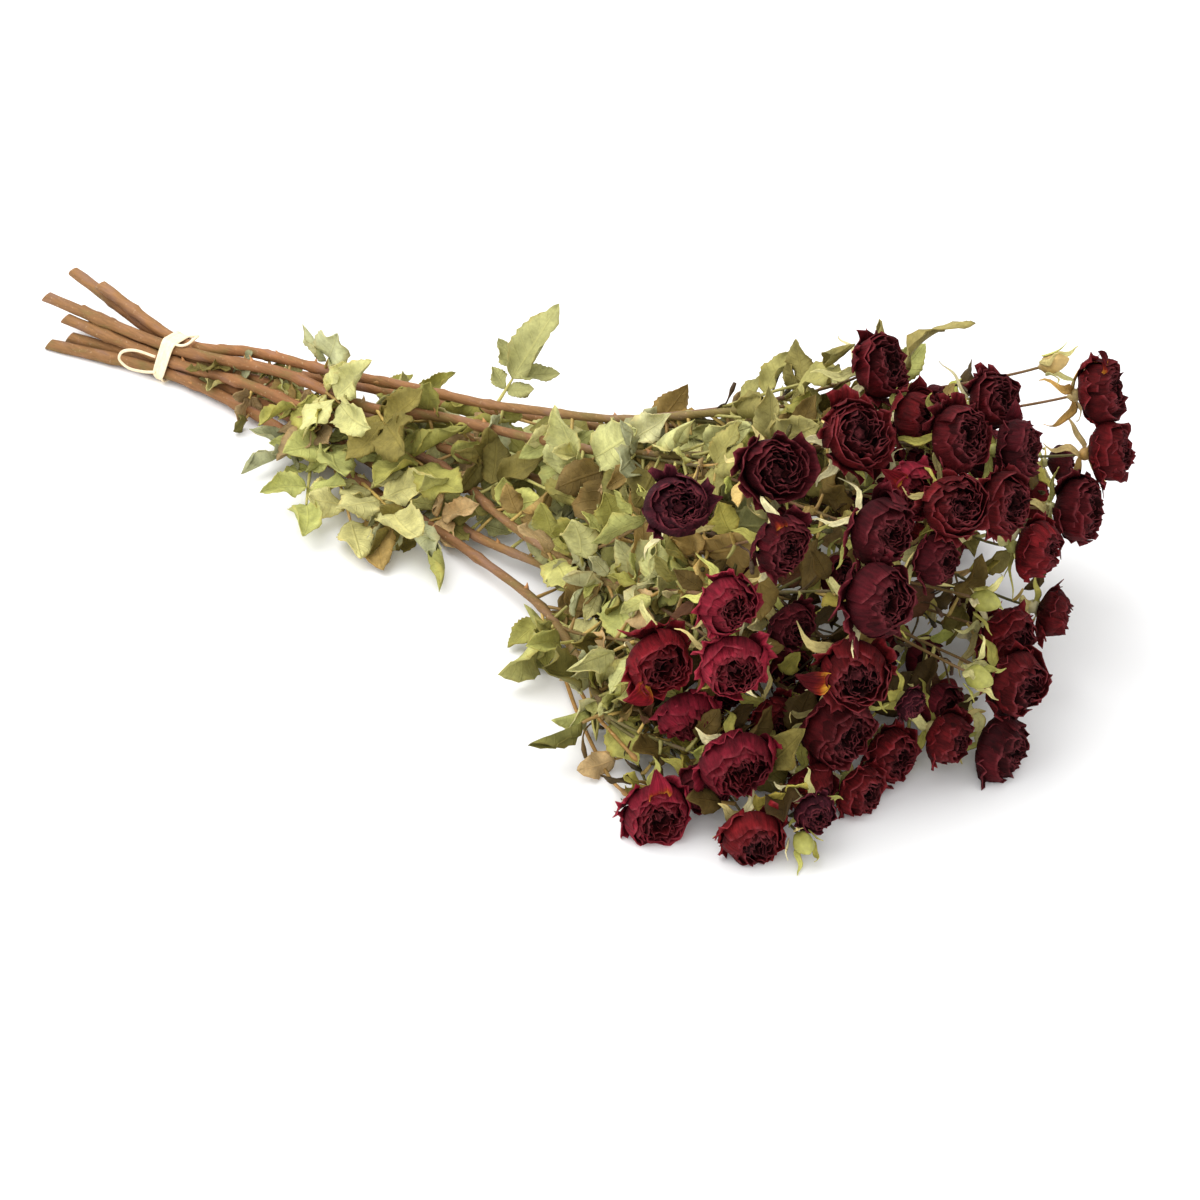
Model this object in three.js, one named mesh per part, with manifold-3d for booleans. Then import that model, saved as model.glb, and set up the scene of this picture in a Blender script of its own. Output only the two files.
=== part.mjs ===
// A tied bunch of dried spray roses, lying on its side. Millimetres, +Z up, +X along the stems
// towards the flowers, the surface that it lies on at Z 0. Eight sprays are held by one rubber band.
// A spray is a woody stem with thorns and a slanted cut, leaves of three leaflets on long stalks,
// and twigs that end in a hip with five sepals, or in a green bud.
// Each rose is a body of its own that sits on its hip.
import * as THREE from "three";
import { mergeVertices } from "three/addons/utils/BufferGeometryUtils.js";
import Module from "manifold-3d";

const wasm = await Module();
wasm.setup();
const { Manifold, Mesh: SolidMesh } = wasm;

// ---- Driving dimensions ----

const GAP = 0.35; // air between two pieces that touch on the real bunch
const CLEAR = 0.15; // least air between pieces that pass each other
const STEM = { thick: 2.85, thin: 1.55, sides: 5, perSpan: 2, cutSlope: 0.7 };
const THORN = { tall: 5, wide: 1.3, sunk: 0.5, back: 1.8, each: 2, first: 0.2, apart: 0.17 };
const TWIG = { root: 1.15, neck: 0.8, sides: 5, steps: 3, firstFork: 0.8, lastFork: 0.99 };
const TWIG_EASE = { leave: 0.22, arrive: 0.3 }; // shares of its span that a twig's ends hold their heading
const HIP = { long: 5.2, radius: 2.9, belly: 0.55, notch: 2.6, dome: 0.5 };
const SEPAL = { reach: 0.98, droop: 1.4 };
const ROSE = { sides: 10, perPetal: 2, foot: 0.72, heart: 0.56 };
const PETAL = { tuck: 0.94, lap: 1.06, flare: 0.2, lift: 0.12 };
const LEAF = { long: 32, most: 0.7, shorter: 0.9, longer: 1.2, slim: 0.64, narrower: 0.85, wider: 1.15 };
const LEAF_FORM = { thick: 0.8, fold: 0.4, wave: 0.5, curl: 1.1, level: 0.4 };
const STALK = { radius: 0.75, atFork: 0.8, atEnd: 0.7, fork: 0.7 };
const PAIR = { side: 0.8, stray: 0.2, lift: 0.55, level: 0.3, cup: 0.12 };
const BRACT = { at: 0.5, long: 30, spread: 0.75, tries: 16, turn: 2.4, every: 3 };
const BAND = { wide: 5.4, thick: 1.1, slack: 0.75, sides: 28, loopRadius: 0.8 };

// A rose's skin from its foot to its heart: share of the radius, share of the radius up the axis, and
// the layer of petals that it belongs to, or 0 in the folds between layers.
const ROSE_PROFILE = [
  [0.84, -0.12, 1],
  [1.0, 0.34, 1],
  [0.72, 0.2, 0],
  [0.66, 0.62, 2],
  [0.36, 0.36, 0],
];

// A bud still shut, from its foot up: share of the radius out, and share of it up. Its point is above.
const EGG = [[0.75, 0.5], [1, 1.3], [0.7, 2.4]];
const EGG_POINT = 3.1;

// A leaflet's blade from its foot to its tip: share of the length, share of the half width.
const BLADE = [[0.22, 0.86], [0.62, 0.92]];

// The edge of a side leaflet, from its foot round its tip: angle off the stalk, share of its length.
const SIDE_EDGE = [[1.48, 0.56], [1.02, 1], [0.64, 0.62]];

// The loose curl of the band, past its outer side.
const BAND_LOOP = [[-1.5, -10.4, 6], [-7, -13.5, 5.6], [-13, -17, 7], [-17, -18.5, 11], [-15, -17.5, 15.5],
  [-9, -14.5, 17], [-1.5, -9.3, 14]];

// The point that the sprays fan out from, and the side that the flowers and leaves lean to.
const FAN_POINT = new THREE.Vector3(255, 8, 40);
const LEAN = new THREE.Vector3(0.5, -0.62, 0.6);
const ROSE_LEAN = 1.24;
const BUD_LEAN = 0.3;

// Each spray. stem: the places that it passes, from the cut end through the band at X 0 to its tip.
// roses: x, y, z of the centre, radius, and how far it leans to the seen side.
// buds: x, y, z of the foot, and radius. leaves: the limb that it grows on, 0 the stem or the number
// of a rose's twig, how far along the limb, and x, y, z of its tip.
const SPRAYS = [
  {
    stem: [[-61, 11, 22], [0, 6.2, 15.4], [38, 14, 21.5], [77, 21, 25], [138, 27, 34], [195, 29, 47],
      [252, 31, 64], [315, 36, 92]],
    roses: [[373, 44, 132, 12, 0.9], [392, 71, 96, 11, 0], [397, 36, 124, 11, 0.6],
      [421, 34, 124, 12.4, 0.7], [412, 73, 118, 11.3, 0.2], [432, 59, 111, 11.8, 0.4]],
    buds: [[412, 107, 118, 4.2]],
    leaves: [[0, 0.44, 102, 10, 58], [0, 0.68, 186, 67, 80], [1, 0.5, 350, 44, 123], [1, 0.4, 349, 20, 108],
      [2, 0.7, 396, 82, 145], [1, 0.7, 356, 50, 134], [3, 0.5, 380, 20, 112]],
  },
  {
    stem: [[-78, -9, 18], [0, 0, 15.4], [63, 10, 22], [121, 9, 27], [169, 17, 36], [229, 14, 50],
      [268, 10, 64], [312, 4, 84]],
    roses: [[380, -34, 127, 12.2, 1], [395, -1, 130, 12.8, 1], [416, 7, 112, 10.9, 0.5],
      [426, -27, 116, 13.2, 1], [439, 7, 113, 12, 0.7], [437, -2, 92, 10, 0.4]],
    buds: [],
    leaves: [[0, 0.44, 170, -19, 36], [0, 0.35, 142, -11, 34], [0, 0.84, 287, 21, 86], [0, 0.9, 312, 8, 94],
      [0, 0.96, 328, 20, 101], [1, 0.6, 356, -14, 110], [2, 0.6, 372, 16, 118]],
  },
  {
    stem: [[-63, -11, 12.5], [0, -3.1, 9.9], [55, 2, 14], [110, 2, 16], [165, 5, 18], [218, -11, 20],
      [275, -26, 27], [325, -42, 42]],
    roses: [[359, -66, 116, 12.3, 1], [403, -58, 115, 10.6, 0.8], [397, -83, 97, 10.6, 1],
      [401, -46, 68, 9.4, 0.4], [438, -44, 97, 15, 1], [404, -85, 75, 12.5, 1]],
    buds: [],
    leaves: [[0, 0.7, 237, -5, 34], [0, 0.5, 199, -15, 28], [0, 0.34, 115, -17, 22],
      [0, 0.66, 218, 24, 35], [0, 0.79, 278, -17, 48], [0, 0.8, 284, -44, 30], [0, 0.97, 344, -56, 46],
      [0, 0.92, 332, -62, 38], [0, 0.9, 314, -32, 52], [2, 0.3, 363, -42, 68], [2, 0.5, 376, -36, 92]],
  },
  {
    stem: [[-64, -22, 2.6], [0, -6.2, 4.7], [54, -4.5, 5], [103, -9.5, 4.5], [150, -16, 5], [197, -24, 7],
      [259, -37, 10], [300, -58, 13], [345, -88, 17]],
    roses: [[369, -91, 62, 12.8, 1], [378, -82, 36, 11.4, 1], [389, -115, 11, 12.9, 1],
      [396, -93, 12, 9.6, 0.4], [427, -101, 10.8, 12, 0.6], [409, -89, 32, 13.9, 1],
      [443, -82, 18, 7.5, 0.4]],
    buds: [[440, -88, 9, 4]],
    leaves: [[0, 0.59, 209, -14, 24], [0, 0.5, 205, -46, 3], [0, 0.41, 174, -53, 4], [0, 0.6, 218, -52, 3],
      [0, 0.37, 146, -55, 3], [0, 0.77, 291, -64, 4], [0, 0.8, 312, -52, 18], [0, 0.93, 340, -91, 6],
      [0, 0.97, 368, -98, 12], [0, 0.46, 197, -38, 15], [0, 0.44, 190, -57, 4], [0, 0.85, 336, -66, 26]],
  },
  {
    stem: [[-60, -12, 3.4], [0, 0, 4.7], [60, 4, 5], [120, 1, 6], [178, -9, 7], [213, -16, 8],
      [262, -17, 12], [330, -18, 19]],
    roses: [[399, -51, 23, 10.3, 0.3], [429, -66, 15, 10.2, 0.5], [442, -52, 9.4, 9.8, 0.3],
      [430, -54, 37, 14.3, 0.9], [441, -31, 14, 11, 0.6], [456, -14, 21, 11.4, 0.8]],
    buds: [],
    leaves: [[0, 0.26, 81, 8, 14], [0, 0.41, 90, -26, 12], [0, 0.37, 137, -20, 14], [0, 0.55, 190, 5, 18],
      [0, 0.86, 325, -42, 14], [0, 0.95, 365, -10, 34]],
  },
  {
    stem: [[-66, 1, 11], [0, 3.1, 9.9], [80, 12, 14], [160, 14, 20], [240, 8, 34], [320, 2, 50]],
    roses: [[438, -52, 68, 13.3, 1], [396, 26, 12.2, 11.8, 0], [470, 4, 11.2, 13, 0.7],
      [470, 14, 38, 12.8, 0.5], [448, 38, 38, 12.8, 0.6], [442, 36, 102, 11.2, 0.6], [446, -26, 40, 6, 0.6]],
    buds: [[458, -4, 48, 4.6], [443, 20, 64, 4.6]],
    leaves: [[0, 0.78, 280, 17, 78], [0, 0.9, 324, 4, 80], [0, 0.5, 190, 30, 38], [0, 0.97, 365, 10, 70],
      [0, 0.7, 262, -18, 48]],
  },
  {
    stem: [[-62, 3, 4.4], [0, 6.2, 4.7], [80, 24, 5], [160, 47, 6], [240, 66, 13], [315, 84, 26]],
    roses: [[353, 71, 11, 11, 0], [367, 123, 11, 11.3, 0], [405, 120, 40, 11.3, 0], [431, 62, 11, 11.6, 0.2],
      [453, 66, 36, 9.7, 0.3]],
    buds: [],
    leaves: [[0, 0.4, 146, 52, 3], [0, 0.6, 205, 42, 14], [0, 0.75, 262, 95, 22], [0, 0.9, 326, 60, 32],
      [0, 0.95, 345, 112, 30]],
  },
  {
    stem: [[-88, 17, 17], [0, 9.3, 9.9], [80, 33, 12], [160, 58, 15], [240, 80, 28], [310, 93, 52]],
    roses: [[391, 103, 68, 11.3, 0], [426, 131, 101, 12.8, 0.5], [438, 124, 79, 12.3, 0.5],
      [438, 103, 61, 13, 0.3], [451, 50, 75, 11.8, 0.3]],
    buds: [],
    leaves: [[0, 0.42, 150, 62, 8], [0, 0.6, 212, 56, 24], [0, 0.75, 262, 98, 26], [0, 0.9, 330, 78, 62],
      [0, 0.96, 345, 118, 66]],
  },
];

const COLOURS = { wood: "#7a6f45", petals: "#5a0f1c", rubber: "#e9d3a8" };

// ---- Small tools ----

const vec = (x, y, z) => new THREE.Vector3(x, y, z);
const along = (from, direction, distance) => from.clone().addScaledVector(direction, distance);
const mix = (a, b, share) => a + (b - a) * share;
const turned = (a, b, turn) => a.clone().multiplyScalar(Math.cos(turn)).addScaledVector(b, Math.sin(turn));

// The same number from 0 to 1 each time, for each whole number asked.
function chance(number) {
  const wave = Math.sin(number * 12.9898 + 4.1414) * 43758.5453;
  return wave - Math.floor(wave);
}

// Three directions at right angles: forward, to its side and level, and upwards.
function axesOf(forward) {
  const ahead = forward.clone().normalize();
  const side = vec(0, 0, 1).cross(ahead).normalize();
  return { ahead, side, up: ahead.clone().cross(side) };
}

function geometryOf(points, faces) {
  const geometry = new THREE.BufferGeometry().setFromPoints(points);
  geometry.setIndex(faces);
  return geometry;
}

// A closed skin over rings of equal count, with a point at each end. Each strip between two rings is
// cut along one diagonal, or along the other where mirrored says so.
function skin(first, rings, last, mirrored = () => false) {
  const count = rings[0].length;
  const points = [first, ...rings.flat(), last];
  const id = (ring, i) => 1 + ring * count + (i % count);
  const faces = [];
  for (let i = 0; i < count; i++) {
    faces.push(0, id(0, i + 1), id(0, i));
    for (let ring = 0; ring + 1 < rings.length; ring++) {
      const [a, b, c, d] = [id(ring, i), id(ring, i + 1), id(ring + 1, i), id(ring + 1, i + 1)];
      faces.push(...(mirrored(i) ? [a, b, c, b, d, c] : [a, b, d, a, d, c]));
    }
    faces.push(points.length - 1, id(rings.length - 1, i), id(rings.length - 1, i + 1));
  }
  return geometryOf(points, faces);
}

// A closed geometry as a solid that can be cut and joined, and back.
function solidOf(geometry) {
  const bare = new THREE.BufferGeometry().setAttribute("position", geometry.getAttribute("position"));
  bare.setIndex(geometry.index);
  const merged = mergeVertices(bare, 1e-4);
  const vertProperties = merged.getAttribute("position").array;
  const triVerts = new Uint32Array(merged.index.array);
  return new Manifold(new SolidMesh({ numProp: 3, vertProperties, triVerts }));
}

function shapeOf(solid) {
  const mesh = solid.getMesh();
  const geometry = new THREE.BufferGeometry();
  geometry.setAttribute("position", new THREE.BufferAttribute(mesh.vertProperties, 3));
  geometry.setIndex(new THREE.BufferAttribute(mesh.triVerts, 1));
  geometry.computeVertexNormals();
  return geometry;
}

// The largest body of a union: a scrap that came loose is dropped.
function joined(solids) {
  const bodies = Manifold.union(solids).decompose();
  return bodies.reduce((best, body) => (body.volume() > best.volume() ? body : best));
}

function crosses(a, b) {
  const [p, q] = [a.boundingBox(), b.boundingBox()];
  const apart = [0, 1, 2].some((k) => p.min[k] > q.max[k] + CLEAR || q.min[k] > p.max[k] + CLEAR);
  return !apart && (a.minGap(b, CLEAR) < CLEAR || !a.intersect(b).isEmpty());
}

// ---- Limbs: stems and twigs ----

function circle(centre, side, up, radius, sides, start = 0) {
  return Array.from({ length: sides }, (_, i) =>
    along(centre, turned(side, up, start + (2 * Math.PI * i) / sides), radius));
}

// Rings round a path that turn as little as they can from one to the next.
function ringsAlong(path, radii, sides) {
  const end = path.length - 1;
  const heading = (k) => path[Math.min(k + 1, end)].clone().sub(path[Math.max(k - 1, 0)]).normalize();
  let { side } = axesOf(heading(0));
  return path.map((centre, k) => {
    const ahead = heading(k);
    side = along(side, ahead, -side.dot(ahead)).normalize();
    return circle(centre, side, ahead.clone().cross(side), radii[k], sides);
  });
}

function curveOf(points) {
  return new THREE.CatmullRomCurve3(points.map((p) => vec(...p)), false, "catmullrom", 0.5);
}

const stemRadius = (share) => mix(STEM.thick, STEM.thin, share ** 1.3);

// The woody stem, cut on a slant at its lower end.
function stemSolid(curve) {
  const steps = STEM.perSpan * (curve.points.length - 1);
  const shares = Array.from({ length: steps + 1 }, (_, k) => k / steps);
  const path = shares.map((share) => curve.getPoint(share));
  const rings = ringsAlong(path, shares.map(stemRadius), STEM.sides);
  const { ahead, up } = axesOf(curve.getTangent(0));
  rings[0] = rings[0].map((p) => along(p, ahead, STEM.cutSlope * p.clone().sub(path[0]).dot(up)));
  return solidOf(skin(path[0], rings, path.at(-1)));
}

// Thorns that lean back towards the cut end, each a small pyramid sunk into the stem.
function thornSolids(curve, seed) {
  return Array.from({ length: THORN.each }, (_, k) => {
    const share = THORN.first + THORN.apart * (k + 0.5 * chance(seed + k));
    const { ahead, side, up } = axesOf(curve.getTangent(share));
    const out = turned(side, up, Math.PI * (0.15 + 0.7 * chance(seed + 10 + k)));
    const centre = curve.getPoint(share);
    const foot = along(centre, out, THORN.sunk * stemRadius(share));
    const base = circle(foot, out.clone().cross(ahead), ahead, THORN.wide, 3);
    const tip = along(along(centre, out, THORN.tall), ahead, -THORN.back);
    return solidOf(skin(centre, [base.reverse()], tip));
  });
}

// The middle line of a twig from its fork on the stem to the foot of its hip, drawn aside by bend.
function twigCurve(root, heading, foot, forward, bend) {
  const span = root.distanceTo(foot);
  const { side, up } = axesOf(foot.clone().sub(root));
  const aside = side.multiplyScalar(bend[0]).addScaledVector(up, bend[1]);
  const leave = along(root, heading, span * TWIG_EASE.leave).add(aside);
  const arrive = along(foot, forward, -span * TWIG_EASE.arrive).add(aside);
  return new THREE.CubicBezierCurve3(root, leave, arrive, foot);
}

function twigRings(curve) {
  const path = curve.getPoints(TWIG.steps);
  return ringsAlong(path, path.map((_, k) => mix(TWIG.root, TWIG.neck, k / TWIG.steps)), TWIG.sides);
}

// ---- Roses, hips and sepals ----

// Which way a rose faces: away from the fan point, and leaning as its spray says.
function facing(centre, lean) {
  const away = centre.clone().sub(FAN_POINT).normalize();
  return away.addScaledVector(LEAN, ROSE_LEAN * lean).normalize();
}

// A rose in relief: layers of petals like a pinwheel, each petal tucked in at one edge and lapping
// over the next at the other, round a sunken heart.
function roseSolid(centre, forward, radius, seed) {
  const { ahead, side, up } = axesOf(forward);
  const rings = ROSE_PROFILE.map(([out, high, layer]) =>
    Array.from({ length: ROSE.sides }, (_, i) => {
      const own = chance(seed + Math.floor(i / ROSE.perPetal) + 7 * layer) - 0.5;
      const across = (i % ROSE.perPetal) / (ROSE.perPetal - 1);
      const lap = layer ? mix(PETAL.tuck, PETAL.lap, across) + PETAL.flare * own : 1;
      const lift = layer ? PETAL.lift * (own + 0.5 * across) : 0;
      const away = turned(side, up, (2 * Math.PI * (i + 0.5 * layer)) / ROSE.sides);
      return along(along(centre, ahead, radius * (high + lift)), away, radius * out * lap);
    }),
  );
  const foot = along(centre, ahead, -ROSE.foot * radius);
  return solidOf(skin(foot, rings, along(centre, ahead, ROSE.heart * radius)));
}

// A twig, its hip and a star of five sepals as one skin: the star's ring has a tip and a notch for
// each side of the twig.
function twigSolid(curve, forward, sepalReach) {
  const { ahead, side, up } = axesOf(forward);
  const rings = twigRings(curve);
  const foot = curve.v3;
  const spoke = rings.at(-1)[0].clone().sub(foot);
  const start = Math.atan2(spoke.dot(up), spoke.dot(side));
  rings.push(circle(along(foot, ahead, HIP.long * HIP.belly), side, up, HIP.radius, TWIG.sides, start));
  const tips = circle(along(foot, ahead, HIP.long - SEPAL.droop), side, up, sepalReach, TWIG.sides, start);
  const half = Math.PI / TWIG.sides;
  const notches = circle(along(foot, ahead, HIP.long), side, up, HIP.notch, TWIG.sides, start + half);
  return solidOf(starSkin(curve.v0, rings, tips, notches, along(foot, ahead, HIP.long + HIP.dome)));
}

function starSkin(first, rings, tips, notches, last) {
  const sides = tips.length;
  const points = [first, ...rings.flat(), ...tips, ...notches, last];
  const id = (ring, i) => 1 + ring * sides + (i % sides);
  const [hip, tip, notch] = [rings.length - 1, rings.length, rings.length + 1];
  const end = points.length - 1;
  const faces = [];
  for (let i = 0; i < sides; i++) {
    faces.push(0, id(0, i + 1), id(0, i));
    for (let ring = 0; ring < hip; ring++) {
      const [a, b, c, d] = [id(ring, i), id(ring, i + 1), id(ring + 1, i), id(ring + 1, i + 1)];
      faces.push(a, b, d, a, d, c);
    }
    faces.push(id(hip, i), id(notch, i), id(tip, i));
    faces.push(id(hip, i), id(hip, i + 1), id(notch, i));
    faces.push(id(hip, i + 1), id(tip, i + 1), id(notch, i));
    faces.push(end, id(tip, i), id(notch, i), end, id(notch, i), id(tip, i + 1));
  }
  return geometryOf(points, faces);
}

// A twig that ends in a green bud still shut, a pointed egg.
function budSolid(curve, forward, radius) {
  const { ahead, side, up } = axesOf(forward);
  const foot = curve.v3;
  const egg = EGG.map(([out, high]) =>
    circle(along(foot, ahead, radius * high), side, up, radius * out, TWIG.sides));
  return solidOf(skin(curve.v0, [...twigRings(curve), ...egg], along(foot, ahead, radius * EGG_POINT)));
}

// ---- Leaves ----

const splitAlike = (i) => i >= 2; // the two faces of a blade are split into triangles alike

// A ring across a blade: both edges, and between them the rib's upper and lower side.
const acrossBlade = (left, right, rib, above, thick) =>
  [left, along(rib, above, thick / 2), right, along(rib, above, -thick / 2)];

// The rings of a leaflet that is folded along its rib, curled along its length and waved at its edges.
function bladeRings(foot, ahead, face, long, seed) {
  const side = face.clone().cross(ahead).normalize();
  const curl = LEAF_FORM.curl * (chance(seed) - LEAF_FORM.level) + 0.001; // never nought
  const wide = long * LEAF.slim * mix(LEAF.narrower, LEAF.wider, chance(seed + 1));
  const at = (share) => {
    const bend = curl * (share - 0.5);
    const forward = (Math.sin(bend) + Math.sin(curl / 2)) / curl;
    const lift = (Math.cos(curl / 2) - Math.cos(bend)) / curl;
    return along(along(foot, ahead, long * forward), face, long * lift);
  };
  const rings = BLADE.map(([share, spread], k) => {
    const above = turned(face, ahead, -curl * (share - 0.5));
    const edge = (sign) => {
      const lift = LEAF_FORM.fold + LEAF_FORM.wave * (chance(seed + 3 + 2 * k + sign) - 0.5);
      return along(at(share), turned(side.clone().multiplyScalar(sign), above, lift), 0.5 * wide * spread);
    };
    return acrossBlade(edge(1), edge(-1), at(share), above, LEAF_FORM.thick);
  });
  return { rings, tip: at(1) };
}

// The rings of the pair of leaflets at a stalk's fork, cut to the stalk on either side.
function pairRings(fork, end, ahead, face, long, seed) {
  const side = face.clone().cross(ahead).normalize();
  return SIDE_EDGE.map(([angle, share], k) => {
    const edge = (sign) => {
      const turn = angle + PAIR.stray * (chance(seed + sign) - 0.5);
      const way = turned(ahead, side.clone().multiplyScalar(sign), turn);
      const lift = PAIR.lift * (chance(seed + 4 + sign) - PAIR.level) * share ** 2 + PAIR.cup * (k - 1);
      return along(along(fork, way, long * share), face, long * lift);
    };
    const rib = fork.clone().lerp(end, k / SIDE_EDGE.length);
    return acrossBlade(edge(1), edge(-1), rib, face, LEAF_FORM.thick);
  });
}

// A leaf from its root on a limb to its tip, as one skin: a stalk with a leaflet at its end and, where
// it is paired, two more at its fork. roll turns its face away from the seen side.
function leafSolid(root, tip, roll, seed, paired) {
  const ahead = tip.clone().sub(root).normalize();
  const seen = along(LEAN, ahead, -LEAN.dot(ahead)).normalize();
  const face = turned(seen, ahead.clone().cross(seen), roll);
  const side = face.clone().cross(ahead);
  const reach = root.distanceTo(tip);
  const long = Math.min(LEAF.long * mix(LEAF.shorter, LEAF.longer, chance(seed + 20)), LEAF.most * reach);
  const end = along(root, ahead, reach - long);
  const fork = along(root, ahead, (reach - long) * STALK.fork);
  const stalk = (centre, share) => circle(centre, side, face, STALK.radius * share, 4);
  const blade = bladeRings(end, ahead, face, long, seed);
  const rings = [stalk(along(root, ahead, 0.5), 1)];
  if (paired) {
    rings.push(stalk(along(fork, ahead, -1), STALK.atFork));
    rings.push(...pairRings(fork, end, ahead, face, long * PAIR.side, seed + 30));
  }
  rings.push(stalk(end, STALK.atEnd), ...blade.rings);
  return solidOf(skin(root, rings, blade.tip, splitAlike));
}

// ---- The rubber band ----

// A band round the stems at X 0, pulled straight between the outer ones, with a slack loop at one side.
function bandSolid(stems) {
  const outline = (reach) =>
    Array.from({ length: BAND.sides }, (_, i) => {
      const way = new THREE.Vector2(1, 0).rotateAround(new THREE.Vector2(), (2 * Math.PI * i) / BAND.sides);
      const far = stems.reduce((a, b) => (b.dot(way) > a.dot(way) ? b : a));
      return far.clone().addScaledVector(way, reach);
    });
  const inner = STEM.thick + BAND.slack;
  const shape = new THREE.Shape(outline(inner + BAND.thick));
  shape.holes.push(new THREE.Path(outline(inner)));
  const ring = new THREE.ExtrudeGeometry(shape, { depth: BAND.wide, bevelEnabled: false });
  ring.translate(0, 0, -BAND.wide / 2);
  ring.applyMatrix4(new THREE.Matrix4().makeBasis(vec(0, 1, 0), vec(0, 0, 1), vec(1, 0, 0)));
  const loop = BAND_LOOP.map((p) => vec(...p));
  const strand = skin(loop[0], ringsAlong(loop, loop.map(() => BAND.loopRadius), 4), loop.at(-1));
  return joined([solidOf(ring), solidOf(strand)]);
}

// ---- The bunch ----

const roseSeed = (number, k) => 100 * number + 11 * k;
const leafSeed = (spray, k) => 2000 + 400 * spray.number + 23 * k;
const bractSeed = (spray, k) => 7000 + 200 * spray.number + 13 * k;
const thornSeed = (spray) => 500 + 40 * spray.number;
const TWIG_BENDS = [[0, 0], [7, 0], [-7, 0], [0, 7], [0, -7], [13, 6], [-13, 6], [13, -6], [-13, -6],
  [0, 14], [0, -14]];
const SEPAL_SHARES = [1, 0.75, 0.45];
const LEAF_WAYS = { tries: 60, farAt: 12, stray: 14, roll: 1.4 };

// What would sink into the surface is pressed flat on it.
const belowSurface = solidOf(new THREE.BoxGeometry(900, 600, 60).translate(200, 0, -30));
const sinks = (solid) => solid.boundingBox().min[2] < 0;
const onSurface = (solid) => (sinks(solid) ? joined([solid.subtract(belowSurface)]) : solid);

const band = bandSolid(SPRAYS.map(({ stem }) => new THREE.Vector2(stem[1][1], stem[1][2])));
const sprays = SPRAYS.map((plan, number) => {
  const curve = curveOf(plan.stem);
  const roses = plan.roses.map(([x, y, z, radius, lean], k) => {
    const centre = vec(x, y, z);
    const forward = facing(centre, lean);
    const solid = onSurface(roseSolid(centre, forward, radius, roseSeed(number, k)));
    return { centre, forward, radius, solid };
  });
  return { plan, number, limbs: [curve], roses, parts: [stemSolid(curve)] };
});

// Whether a piece of one spray would cross the band, a rose or anything of another spray.
function blocked(piece, own) {
  return crosses(piece, band) || sprays.some((spray) =>
    spray.roses.some((rose) => crosses(piece, rose.solid)) ||
    (spray !== own && spray.parts.some((part) => crosses(piece, part))));
}

// Lays a piece in the first of several ways that is above the surface and clear of what it may not
// cross: the other sprays and the roses, and of its own spray, where its carrier is named, all but that.
function layFirstClear(spray, ways, carrier) {
  for (const [piece, limb] of ways) {
    const meets = (part, k) => k !== carrier && crosses(piece, part);
    if (sinks(piece) || blocked(piece, spray)) continue;
    if (carrier !== undefined && spray.parts.some(meets)) continue;
    spray.parts.push(piece);
    if (limb) spray.limbs.push(limb);
    return true;
  }
  return false;
}

const noPlace = (spray, what) => console.warn(`spray ${spray.number + 1} has no clear place for ${what}`);

function* twigWays(spray, share, foot, forward, make) {
  const [stem] = spray.limbs;
  for (const sepals of SEPAL_SHARES) {
    for (const bend of TWIG_BENDS) {
      const curve = twigCurve(stem.getPoint(share), stem.getTangent(share), foot, forward, bend);
      yield [make(curve, sepals), curve];
    }
  }
}

for (const spray of sprays) {
  const { roses, buds } = spray.plan;
  const forkOf = (k) => mix(TWIG.firstFork, TWIG.lastFork, k / (roses.length + buds.length - 1));
  spray.roses.forEach(({ centre, forward, radius }, k) => {
    const foot = along(centre, forward, -ROSE.foot * radius - GAP - HIP.dome - HIP.long);
    const make = (curve, sepals) => twigSolid(curve, forward, SEPAL.reach * radius * sepals);
    const ways = twigWays(spray, forkOf(k), foot, forward, make);
    if (!layFirstClear(spray, ways)) noPlace(spray, `twig ${k + 1}`);
  });
  buds.forEach(([x, y, z, radius], k) => {
    const foot = vec(x, y, z);
    const forward = facing(foot, BUD_LEAN);
    const make = (curve) => budSolid(curve, forward, radius);
    const ways = twigWays(spray, forkOf(roses.length + k), foot, forward, make);
    if (!layFirstClear(spray, ways)) noPlace(spray, `bud ${k + 1}`);
  });
}

// The ways to lay a leaf: on the spot, then further astray, with three leaflets or with one.
function* leafWays(root, aim, seed, paired) {
  for (let step = 0; step < LEAF_WAYS.tries; step++) {
    const stray = LEAF_WAYS.stray * Math.min(1, step / LEAF_WAYS.farAt);
    const tip = along(aim, LEAN, stray * chance(seed + 3 * step));
    tip.x += stray * (chance(seed + 5 * step) - 0.5);
    tip.y += stray * (chance(seed + 9 * step) - 0.5);
    yield [leafSolid(root, tip, LEAF_WAYS.roll * (chance(seed + 7 * step) - 0.5), seed, paired)];
  }
}

// The ways to lay a single leaflet on a twig, at one place after another round it.
function* bractWays(limb, seed) {
  const root = limb.getPoint(BRACT.at);
  const { ahead, side, up } = axesOf(limb.getTangent(BRACT.at));
  for (let step = 0; step < BRACT.tries; step++) {
    const out = turned(side, up, 2 * Math.PI * chance(seed) + BRACT.turn * step);
    yield [leafSolid(root, along(root, turned(ahead, out, BRACT.spread), BRACT.long), 0, seed, false)];
  }
}

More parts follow.
